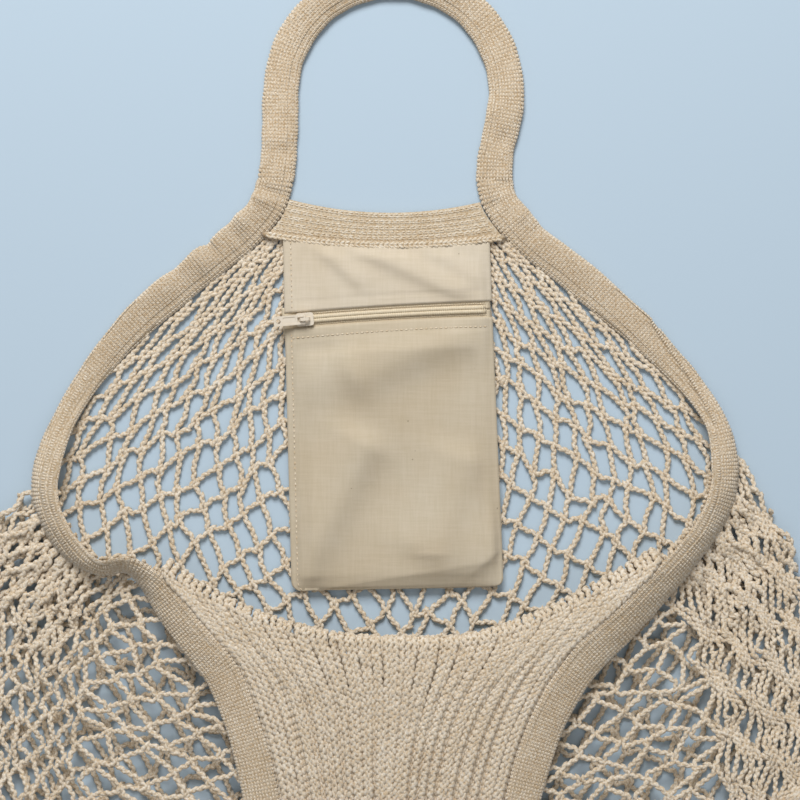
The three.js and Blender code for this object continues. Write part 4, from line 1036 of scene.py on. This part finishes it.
BOTTOM_CREASE = (-30, -9.5, 0.16)  # a place on it, and how steeply it climbs
SEWN_STITCH = (1.6, 0.8, 0.7)


def bowed(points):
    """The zip droops a little towards its far end, and the cloth beside it goes with it."""
    points = np.array(points, float)
    near = np.exp(-((points[..., 1] - ZIP_MIDDLE[1]) / DROOP_REACH) ** 2)
    points[..., 1] -= near * ZIP_DROOP * np.clip((points[..., 0] - DROOP_FROM) / DROOP_LENGTH, 0, 1.1) ** 2
    return points


def sewn_down(points):
    """Presses the front of the pocket down on its back panel along the side and bottom seams."""
    points = np.array(points, float)
    x, y = points[..., 0], points[..., 1]
    share = (TOP_LEFT[1] - y) / (TOP_LEFT[1] - LOW_LEFT[1])
    left = TOP_LEFT[0] + (LOW_LEFT[0] - TOP_LEFT[0]) * share
    right = TOP_RIGHT[0] + (LOW_RIGHT[0] - TOP_RIGHT[0]) * share
    bottom = LOW_LEFT[1] + (LOW_RIGHT[1] - LOW_LEFT[1]) * (x - LOW_LEFT[0]) / (LOW_RIGHT[0] - LOW_LEFT[0])
    pressed = POCKET_BACK_HEIGHT + 2 * CLOTH_HALF
    for far in (np.minimum(x - left, right - x) / SEAM_REACH, (y - bottom) / SEAM_REACH * 3):
        far = np.clip(far, 0, 1)
        points[..., 2] = pressed + (points[..., 2] - pressed) * far * far * (3 - 2 * far)
    return points


def zip_line(x, away):
    """Height in the picture of a line beside the zip."""
    return ZIP_MIDDLE[1] + (x - ZIP_MIDDLE[0]) * math.tan(ZIP_ANGLE) + away / math.cos(ZIP_ANGLE)


def seam_at(top, low, away):
    """Where a side seam of the pocket crosses the folded edge beside the zip."""
    share = 0.2
    for _ in range(20):
        x = top[0] + (low[0] - top[0]) * share
        share = (top[1] - zip_line(x, away)) / (top[1] - low[1])
    x = top[0] + (low[0] - top[0]) * share
    return np.array([x, zip_line(x, away), ZIP_CLOTH_HEIGHT])


def straight(a, b):
    a, b = np.asarray(a, float), np.asarray(b, float)
    return lambda t: a + (b - a) * np.asarray(t, float)[:, None]


def rising(low, high):
    """A side seam that is level from the bottom and rises over the zip near its top."""
    def curve(t):
        t = np.asarray(t, float)
        points = low + (high - low) * t[:, None]
        s = np.clip((t - 0.75) / 0.25, 0, 1)
        points[:, 2] = low[2] + (high[2] - low[2]) * s * s * (3 - 2 * s)
        return points
    return curve


def creased(points, creases):
    """Height that soft creases add to the cloth."""
    lift = np.zeros(points.shape[:-1])
    for x0, y0, x1, y1, rise, left, right in creases:
        way = np.array([x1 - x0, y1 - y0], float)
        size = np.hypot(*way)
        way /= size
        dx, dy = points[..., 0] - x0, points[..., 1] - y0
        along = dx * way[0] + dy * way[1]
        off = dy * way[0] - dx * way[1]
        past = np.maximum(np.maximum(-along, along - size), 0)
        reach = np.where(off > 0, left, right)
        lift += rise * np.exp(-(off / reach) ** 2 - (past / CREASE_FADE) ** 2)
    return lift


def woven_calico(name, thread, slub):
    """Unbleached plain-weave cotton: matt and cream, with slubs in its threads and dark seed flecks."""
    material, tree, shader, where = new_material(name)
    # Threads are 0.45 mm apart; they are drawn at 0.9 mm, with slubs of 14 mm, so that they show.
    fine, long = 1 / (0.9 * MM), 1 / (14 * MM)
    threads = []
    for stretch in ((long, fine, 60), (fine, long, 60)):
        lie = node(tree, "ShaderNodeMapping", {"Vector": where, "Scale": stretch}).outputs[0]
        threads.append(node(tree, "ShaderNodeTexNoise", {"Vector": lie, "Scale": 1.0, "Detail": 2.0}))
    warp, weft = (run.outputs["Fac"] for run in threads)
    weave = node(tree, "ShaderNodeMath", {0: warp, 1: weft}, operation="ADD").outputs[0]
    cloth = mixed(tree, ranged(tree, weave, 0.75, 1.25, 0.0, 1.0), thread, slub)
    aged = mixed(tree, noise(tree, where, 40, 2.0), "#e9dfd0", "#ffffff")
    toned = mixed(tree, 1.0, cloth, aged, "MULTIPLY")
    # Seed flecks: dots under a millimetre, one every 13 mm or so.
    seeds = node(tree, "ShaderNodeTexVoronoi", {"Vector": where, "Scale": 1 / (13 * MM), "Randomness": 1.0})
    dot = ranged(tree, seeds.outputs["Distance"], 0.02, 0.045, 0.55, 0.0)
    fill(tree, shader, {"Base Color": mixed(tree, dot, toned, "#6b5a45"),
                        "Normal": bumped(tree, weave, 0.22, 0.25),
                        "Roughness": 0.9, "Specular IOR Level": 0.25,
                        "Sheen Weight": 0.15, "Sheen Roughness": 0.5})
    return material


# The pocket is one calico in two tones: the panel above the zip is painted paler, as painted light, and the
# calico below it darker, as painted shade.
CALICO = woven_calico("unbleached_calico", "#cbc0aa", "#d2c7b3")
LIT_CALICO = woven_calico("pale_unbleached_calico", "#d8cebb", "#dfd5c4")  # above the zip
SEWING_THREAD = knitted_cotton("cotton_sewing_thread", "#cdbfa4", "#e6dac3", "#f3ead9")


def cloth_panel(name, cad_node, middle, cloth=CALICO):
    """A panel about a grid of middle points, made as a closed sheet of cloth."""
    piece = new_piece(name, *closed_sheet(middle, CLOTH_HALF), cloth)
    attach(piece, "bag")
    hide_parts(cad_node)


def corners(z, *places):
    return [np.array([*place, z], float) for place in places]


def round_corners(u, v, length, hem):
    """How far cloth is drawn in from the sides, where its lower corners are turned and sewn round."""
    from_corner = np.maximum(1 - v * length / CORNER_ROUND, 0)
    drawn_in = CORNER_ROUND * (1 - np.sqrt(1 - from_corner ** 2)) + hem
    return (0.5 - u) * 2 * drawn_in * np.abs(2 * u - 1) ** 6


low_left, low_right = corners(POCKET_BACK_HEIGHT, LOW_LEFT, LOW_RIGHT)
top_left, top_right = corners(POCKET_BACK_HEIGHT, TOP_LEFT, TOP_RIGHT)
back = grid(patch(straight(low_left, low_right), straight(top_left, top_right),
                  straight(low_left, top_left), straight(low_right, top_right)), *BACK_GRID)
u, v = unit_grid(*BACK_GRID)
back[..., 0] += round_corners(u, v, POCKET_LENGTH, BACK_HEM)
back[..., 1] += BACK_SHORT * np.clip(1 - 20 * v, 0, 1)
cloth_panel("pocket_back_cloth", "pocket_back", back)

zip_top_left, zip_top_right, zip_low_left, zip_low_right = (
    seam_at(top, low, away) for away in (ZIP_HALF_SLOT, -ZIP_HALF_SLOT)
    for top, low in ((TOP_LEFT, LOW_LEFT), (TOP_RIGHT, LOW_RIGHT)))
rib_x = back_binding[0](np.array([0.0, 1.0]))[:, 0]
rib_from, rib_to = (np.array([TOP_LEFT[0], TOP_RIGHT[0]]) - rib_x[0]) / (rib_x[1] - rib_x[0])


def pocket_top(t):
    """The pocket's upper edge, under the binding's rib."""
    rib = back_binding[0](rib_from + (rib_to - rib_from) * np.asarray(t))
    return rib * [1, 1, 0] + [0, -TOP_SHORT, SEAM_HEIGHT - TOP_SINK]


upper = grid(patch(straight(zip_top_left, zip_top_right), pocket_top,
                   straight(zip_top_left, pocket_top(zero)[0]),
                   straight(zip_top_right, pocket_top(one)[0])), *UPPER_GRID)
u, v = unit_grid(*UPPER_GRID)
x, y, z = (upper[..., k] for k in range(3))
free = np.clip(14 * np.minimum(u, 1 - u), 0, 1) * np.clip(5 * np.minimum(v, 1 - v), 0, 1)
z += free * (creased(upper, UPPER_CREASES) + 16 * u * (1 - u) * v * (1 - v) * 0.5)
# Puckers under the rib.
z += 0.45 * np.sin(x * 0.52 + 1) * np.sin(x * 0.23) * np.clip((v - 0.8) / 0.2, 0, 1)
# A crease where the seam allowance behind the cloth ends, above the zip.
z -= 0.35 * np.exp(-(((y - zip_line(x, ZIP_HALF_SLOT + ZIP_ALLOWANCE)) / 0.7) ** 2)) * free
upper = sewn_down(bowed(upper))
cloth_panel("pocket_front_upper_cloth", "pocket_front_upper", upper,
            LIT_CALICO)

low_left, low_right = corners(SEAM_HEIGHT, LOW_LEFT, LOW_RIGHT)
lower_place = patch(straight(low_left, low_right), straight(zip_low_left, zip_low_right),
                    rising(low_left, zip_low_left), rising(low_right, zip_low_right))
# The bottom of the cloth is folded back under along a slanting crease; a row of the grid follows it.
columns, rows = LOWER_GRID
u, v = unit_grid(columns, rows)
crease_x = LOW_LEFT[0] + (LOW_RIGHT[0] - LOW_LEFT[0]) * u[0]
crease_deep = np.maximum(BOTTOM_CREASE[1] + (crease_x - BOTTOM_CREASE[0]) * BOTTOM_CREASE[2]
                         - LOW_LEFT[1] - (LOW_RIGHT[1] - LOW_LEFT[1]) * u[0], 0.6)
crease_v = crease_deep / LOWER_LENGTH
step = np.arange(rows + 1)[:, None]
v = np.where(step < CREASE_ROW, crease_v * step / CREASE_ROW,
             crease_v + (1 - crease_v) * (step - CREASE_ROW) / (rows - CREASE_ROW))
lower = lower_place(u.ravel(), v.ravel()).reshape(rows + 1, columns + 1, 3)
x, y, z = (lower[..., k] for k in range(3))
free = np.clip(9 * np.minimum(u, 1 - u), 0, 1) * np.clip(np.minimum(18 * v, 9 * (1 - v)), 0, 1)
swell = 1.0 + sum(rise * np.exp(-((x - at_x) ** 2 + (y - at_y) ** 2) / reach ** 2)
                  for at_x, at_y, rise, reach in SWELLS)
z += free * (swell + creased(lower, LOWER_CREASES))
# The cloth slopes down from the crease to the edge, and at its right end to the side.
above = np.maximum(v - crease_v, 0) * LOWER_LENGTH
turned = CREASE_END[0] + (y - CREASE_END[1]) * CREASE_END[2]
to_side = np.clip((LOW_RIGHT[0] - x) / np.maximum(LOW_RIGHT[0] - turned, 4), 0, 1)
fade = np.clip(8 * u, 0, 1) * to_side
z += fade * 0.34 * crease_deep * np.minimum(v / crease_v, 1) * np.exp(-(above / 24) ** 2)
# The margin outside the seam down the left side stands up a little beside the stitches, and the cloth is
# drawn down along the seam below the zip.
z -= 0.5 * np.exp(-((u * LOWER_WIDTH - LOWER_SEAM) / 1.2) ** 2) * np.clip(6 * v, 0, 1)
from_seam = y - zip_line(x, -ZIP_HALF_SLOT - ZIP_SEAM)
z -= 0.4 * np.exp(-(from_seam / 0.9) ** 2) * np.clip(20 * np.minimum(u, 1 - u), 0, 1)
x += round_corners(u, v, LOWER_LENGTH, 0)
lower = sewn_down(bowed(lower))
cloth_panel("pocket_front_lower_cloth", "pocket_front_lower", lower)


def sewn_line(surface, u, v, step):
    """Places of the stitches of a seam along a line on a grid of cloth points."""
    rows, columns = surface.shape[:2]
    r, c = v * (rows - 1), u * (columns - 1)
    r0, c0 = np.minimum(r.astype(int), rows - 2), np.minimum(c.astype(int), columns - 2)
    fr, fc = (r - r0)[:, None], (c - c0)[:, None]
    line = ((surface[r0, c0] * (1 - fc) + surface[r0, c0 + 1] * fc) * (1 - fr)
            + (surface[r0 + 1, c0] * (1 - fc) + surface[r0 + 1, c0 + 1] * fc) * fr)
    run = lengths_along(line)
    at = np.arange(step / 2, run[-1], step)
    spots, ahead = (on_line(line, run, at + reach) for reach in (0, 0.5))
    return spots + UP * (CLOTH_HALF + 0.05), ahead - spots + 1e-6, np.broadcast_to(UP, spots.shape)


ramp = np.linspace(0, 1, 200)
level = np.ones(200)
zip_seam_v = 1 - ZIP_SEAM / LOWER_LENGTH * (rows - CREASE_ROW) / rows
seams = [
    sewn_line(lower, level * LOWER_SEAM / LOWER_WIDTH, 0.01 + 0.97 * ramp, 2.9),
    sewn_line(upper, level * UPPER_SEAM / UPPER_WIDTH, 0.05 + 0.93 * ramp, 2.9),
    sewn_line(lower, 0.03 + 0.95 * ramp, level * zip_seam_v, 2.7),
]
stitches = new_piece("pocket_stitching", [], [], SEWING_THREAD)
spots = (np.concatenate(parts) for parts in zip(*seams))
lay(stitches, THREAD_STITCH, SEWN_STITCH, SEWING_THREAD, *spots, uneven=0.12, seed=51)
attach(stitches, "bag")

# Zip
# A closed nylon coil zip: two woven tapes sewn under the folded cloth, and a flattened spiral of nylon
# along the edge of each, meshed together along the middle.
ZIP_HALF_LENGTH = 57
TAPE_LOW, TAPE_HIGH = 6.35, 7.0
TAPE_INNER, TAPE_WIDTH = 0.2, 7.5
TAPE_STITCH = (1.35, 0.8, 0.75)
TAPE_STITCH_STEP = 1.3
STITCH_LIFT = 0.15
COIL_FROM, COIL_TO = -46.4, 54.4
COIL_MESHED = 0.15  # how far the coils reach into each other
COIL_TURN = 1.0
COIL_WIDTH, COIL_HEIGHT = 2.35, 1.4
COIL_BASE = 7.35
COIL_THREAD = 0.33
COIL_SEAM = 3.0  # the stitches that hold a coil on its tape
CORD_HALF = 0.62
WAVE_LENGTH = 0.314  # after which the wave texture repeats at a scale of 1


def in_zip(points):
    """From the zip's own frame, with X along it, to the bag's."""
    x, y, z = np.asarray(points, float).T
    c, s = math.cos(ZIP_ANGLE), math.sin(ZIP_ANGLE)
    return sewn_down(bowed(np.c_[ZIP_MIDDLE[0] + c * x - s * y, ZIP_MIDDLE[1] + s * x + c * y, z]))


def zip_nylon(name, dark, light, spacing, roughness):
    """Dyed nylon: a soft plastic gloss, lined across by its threads or turns."""
    material, tree, shader, where = new_material(name)
    lie = node(tree, "ShaderNodeMapping", {"Vector": where, "Rotation": (0, 0, -ZIP_ANGLE)}).outputs[0]
    lines = node(tree, "ShaderNodeTexWave", {"Vector": lie, "Scale": 1 / (spacing * MM) * WAVE_LENGTH,
                                             "Distortion": 1.5, "Detail": 2.0}, bands_direction="X")
    shade = lines.outputs["Fac"]
    fill(tree, shader, {"Base Color": mixed(tree, shade, dark, light),
                        "Normal": bumped(tree, shade, 0.3, 0.15), "Roughness": roughness, "IOR": 1.53})
    return material


TAPE_NYLON = zip_nylon("woven_nylon_tape", "#d5c4a6", "#e0d1b6", 0.8, 0.75)
COIL_NYLON = zip_nylon("nylon_coil", "#dccbab", "#e9dbbf", 1.15, 0.42)


def coil_tree():
    """A flattened spiral of thread along the X axis, starting at the origin."""
    tree, given = new_tree("zip_coil", (("Turns", "Float"), ("Length", "Float"), ("Width", "Float"),
                                        ("Height", "Float"), ("Thread", "Float"), ("Material", "Material")))
    spiral = node(tree, "GeometryNodeCurveSpiral",
                  {"Resolution": 12, "Rotations": given["Turns"], "Start Radius": 0.5, "End Radius": 0.5,
                   "Height": given["Length"]})
    size = node(tree, "ShaderNodeCombineXYZ", {"X": given["Height"], "Y": given["Width"], "Z": 1.0})
    flat = node(tree, "GeometryNodeTransform", {"Geometry": spiral.outputs[0], "Scale": size.outputs[0]})
    lying = node(tree, "GeometryNodeTransform",
                 {"Geometry": flat.outputs[0], "Rotation": (0, math.pi / 2, 0)})
    thread = node(tree, "GeometryNodeCurvePrimitiveCircle", {"Resolution": 5, "Radius": given["Thread"]})
    tube = node(tree, "GeometryNodeCurveToMesh",
                {"Curve": lying.outputs[0], "Profile Curve": thread.outputs[0], "Fill Caps": True})
    smooth = node(tree, "GeometryNodeSetShadeSmooth", {"Geometry": tube.outputs[0]})
    real = node(tree, "GeometryNodeRealizeInstances", {"Geometry": smooth.outputs[0]})
    dressed = node(tree, "GeometryNodeSetMaterial",
                   {"Geometry": real.outputs[0], "Material": given["Material"]})
    node(tree, "NodeGroupOutput", {"Geometry": dressed.outputs[0]})
    return tree


COIL = coil_tree()


def zip_grid(along, across, height):
    """A level grid of points in the zip."""
    x, y = np.meshgrid(along, across)
    return in_zip(np.c_[x.ravel(), y.ravel(), np.full(x.size, height)]).reshape(*x.shape, 3)


for side, sign in (("upper", 1), ("lower", -1)):
    tape = zip_grid(np.linspace(-ZIP_HALF_LENGTH, ZIP_HALF_LENGTH, 56),
                    np.linspace(TAPE_INNER, TAPE_WIDTH, 9) * sign, (TAPE_LOW + TAPE_HIGH) / 2)[::sign]
    # A cord runs inside each coil, sewn to the tape.
    cord = zip_grid(np.linspace(COIL_FROM, COIL_TO, 40), np.linspace(0.1, COIL_WIDTH - 0.4, 7) * sign,
                    COIL_BASE + COIL_HEIGHT / 2)[::sign]
    cord_half = CORD_HALF * np.sqrt(np.clip(1 - np.linspace(-0.98, 0.98, 7) ** 2, 0.04, 1))[:, None]
    tape_points, tape_faces = closed_sheet(tape, (TAPE_HIGH - TAPE_LOW) / 2)
    cord_points, cord_faces = closed_sheet(cord, cord_half)
    faces = tape_faces + [[len(tape_points) + k for k in face] for face in cord_faces]
    points = np.concatenate([tape_points, cord_points])
    piece = new_piece("zip_tape_" + side + "_weave", points, faces, TAPE_NYLON)
    x = np.arange(COIL_FROM + 1, ZIP_HALF_LENGTH - 1, TAPE_STITCH_STEP)
    y, z = np.full(len(x), sign * COIL_SEAM), np.full(len(x), TAPE_HIGH + STITCH_LIFT)
    spots = in_zip(np.c_[x, y, z])
    ahead = in_zip(np.c_[x + 0.5, y + 0.2, z])
    up = np.broadcast_to(UP, spots.shape)
    lay(piece, THREAD_STITCH, TAPE_STITCH, TAPE_NYLON, spots, ahead - spots, up, uneven=0.1, seed=57)
    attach(piece, "bag")
    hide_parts("zip_tape_" + side)

    coil = new_piece("zip_coil_" + side + "_spiral", [], [], COIL_NYLON)
    run_tree(coil, COIL, {"Turns": (COIL_TO - COIL_FROM) / COIL_TURN, "Length": (COIL_TO - COIL_FROM) * MM,
                          "Width": (COIL_WIDTH - 2 * COIL_THREAD) * MM,
                          "Height": (COIL_HEIGHT - 2 * COIL_THREAD) * MM,
                          "Thread": COIL_THREAD * MM, "Material": COIL_NYLON})
    # The coils lie side by side along the zip, half a turn apart so that they mesh.
    turns = np.empty(3 * len(coil.data.vertices))
    coil.data.vertices.foreach_get("co", turns)
    start = [COIL_FROM + (0 if sign > 0 else COIL_TURN / 2), sign * (COIL_WIDTH / 2 - COIL_MESHED),
             COIL_BASE + COIL_HEIGHT / 2]
    turns = in_zip(turns.reshape(-1, 3) / MM + start) * MM
    coil.data.vertices.foreach_set("co", turns.ravel())
    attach(coil, "bag")
    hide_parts("zip_coil_" + side)

# Zip slider and pull
# Both are die-cast zinc with a cream stoved enamel, thin and a little worn on the edges. The pull's eye
# goes round the slider's bail, so it swings over the slider from one side to the other.
EDGE_ROUND = 0.16


def cream_enamel():
    """Stoved enamel on die-cast zinc: satin, a little uneven, rubbed paler and rougher in random patches."""
    material, tree, shader, where = new_material("cream_stoved_enamel")
    rub = noise(tree, where, 2.5, 3.0)
    peel = noise(tree, where, 0.7, 1.0)
    fill(tree, shader, {"Base Color": mixed(tree, rub, "#d9cbb5", "#eadfce"),
                        "Roughness": ranged(tree, rub, 0.0, 1.0, 0.28, 0.5),
                        "Normal": bumped(tree, peel, 0.12, 0.1),
                        "Coat Weight": 0.3, "Coat Roughness": 0.25})
    return material


ENAMEL = cream_enamel()


def rounded_casting(name, cad_node, body):
    """The casting's own solid with its edges rounded."""
    solid = bmesh.new()
    solid.from_mesh(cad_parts[cad_node].data)
    bmesh.ops.remove_doubles(solid, verts=solid.verts, dist=1e-6)
    bmesh.ops.dissolve_limit(solid, angle_limit=math.radians(2), verts=solid.verts, edges=solid.edges)
    sharp = [e for e in solid.edges if len(e.link_faces) == 2 and e.calc_face_angle(0) > math.radians(35)]
    bmesh.ops.bevel(solid, geom=sharp, offset=EDGE_ROUND * MM, segments=2, profile=0.5, affect="EDGES",
                    clamp_overlap=True)
    bmesh.ops.triangulate(solid, faces=[f for f in solid.faces if len(f.verts) > 4])
    mesh = bpy.data.meshes.new(name)
    solid.to_mesh(mesh)
    solid.free()
    mesh.materials.append(ENAMEL)
    piece = bpy.data.objects.new(name, mesh)
    bpy.context.scene.collection.objects.link(piece)
    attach(piece, body)
    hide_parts(cad_node)


rounded_casting("zip_slider_casting", "zip_slider", "bag")
rounded_casting("zip_pull_casting", "zip_pull", "pull")

for stitch in (KNIT_STITCH, THREAD_STITCH, NET_LINK):
    bpy.data.objects.remove(stitch)

# Stage
# A plain pale floor under a large soft light from beyond the back handle, seen from straight above.
FLOOR_COLOUR = "#b9cbd9"
FLOOR_HALF, FLOOR_HEIGHT = 9000, -0.05
LIGHTS = [  # name, place in metres, size, power
    ("key_light", (-0.2, 1.5, 1.35), 0.9, 36.0), ("fill_light", (0.3, -0.9, 1.6), 1.8, 4.0),
]
LIGHTS_AIM = np.array([0.0, 0.05, 0.0])
VIEW_CENTRE = (5.5, 92.5)
VIEW_WIDTH = 440
VIEW_HEIGHT = 1200
floor_paint = bpy.data.materials.new("pale_floor")
floor_paint.use_nodes = True
fill(floor_paint.node_tree, floor_paint.node_tree.nodes["Principled BSDF"],
     {"Base Color": linear(FLOOR_COLOUR), "Roughness": 0.85})
floor_corners = [(x * FLOOR_HALF, y * FLOOR_HALF, FLOOR_HEIGHT)
                 for x, y in ((-1, -1), (1, -1), (1, 1), (-1, 1))]
floor = new_piece("floor", floor_corners, [(0, 1, 2, 3)], floor_paint)

for name, place, size, power in LIGHTS:
    lamp = bpy.data.lights.new(name, "AREA")
    lamp.size = size
    lamp.energy = power
    light = bpy.data.objects.new(name, lamp)
    light.location = place
    aim = LIGHTS_AIM - place
    light.rotation_euler = (math.atan2(math.hypot(aim[0], aim[1]), -aim[2]), 0, math.atan2(-aim[0], aim[1]))
    bpy.context.scene.collection.objects.link(light)
world = bpy.data.worlds.new("soft_room")
world.use_nodes = True
fill(world.node_tree, world.node_tree.nodes["Background"], {"Color": linear("#f2f4f7"), "Strength": 0.32})
bpy.context.scene.world = world
bpy.context.scene.view_settings.view_transform = "Standard"

camera = bpy.data.objects.new("camera", bpy.data.cameras.new("camera"))
camera.location = (VIEW_CENTRE[0] * MM, VIEW_CENTRE[1] * MM, VIEW_HEIGHT * MM)
camera.data.lens = camera.data.sensor_width * VIEW_HEIGHT / VIEW_WIDTH
bpy.context.scene.collection.objects.link(camera)
bpy.context.scene.camera = camera
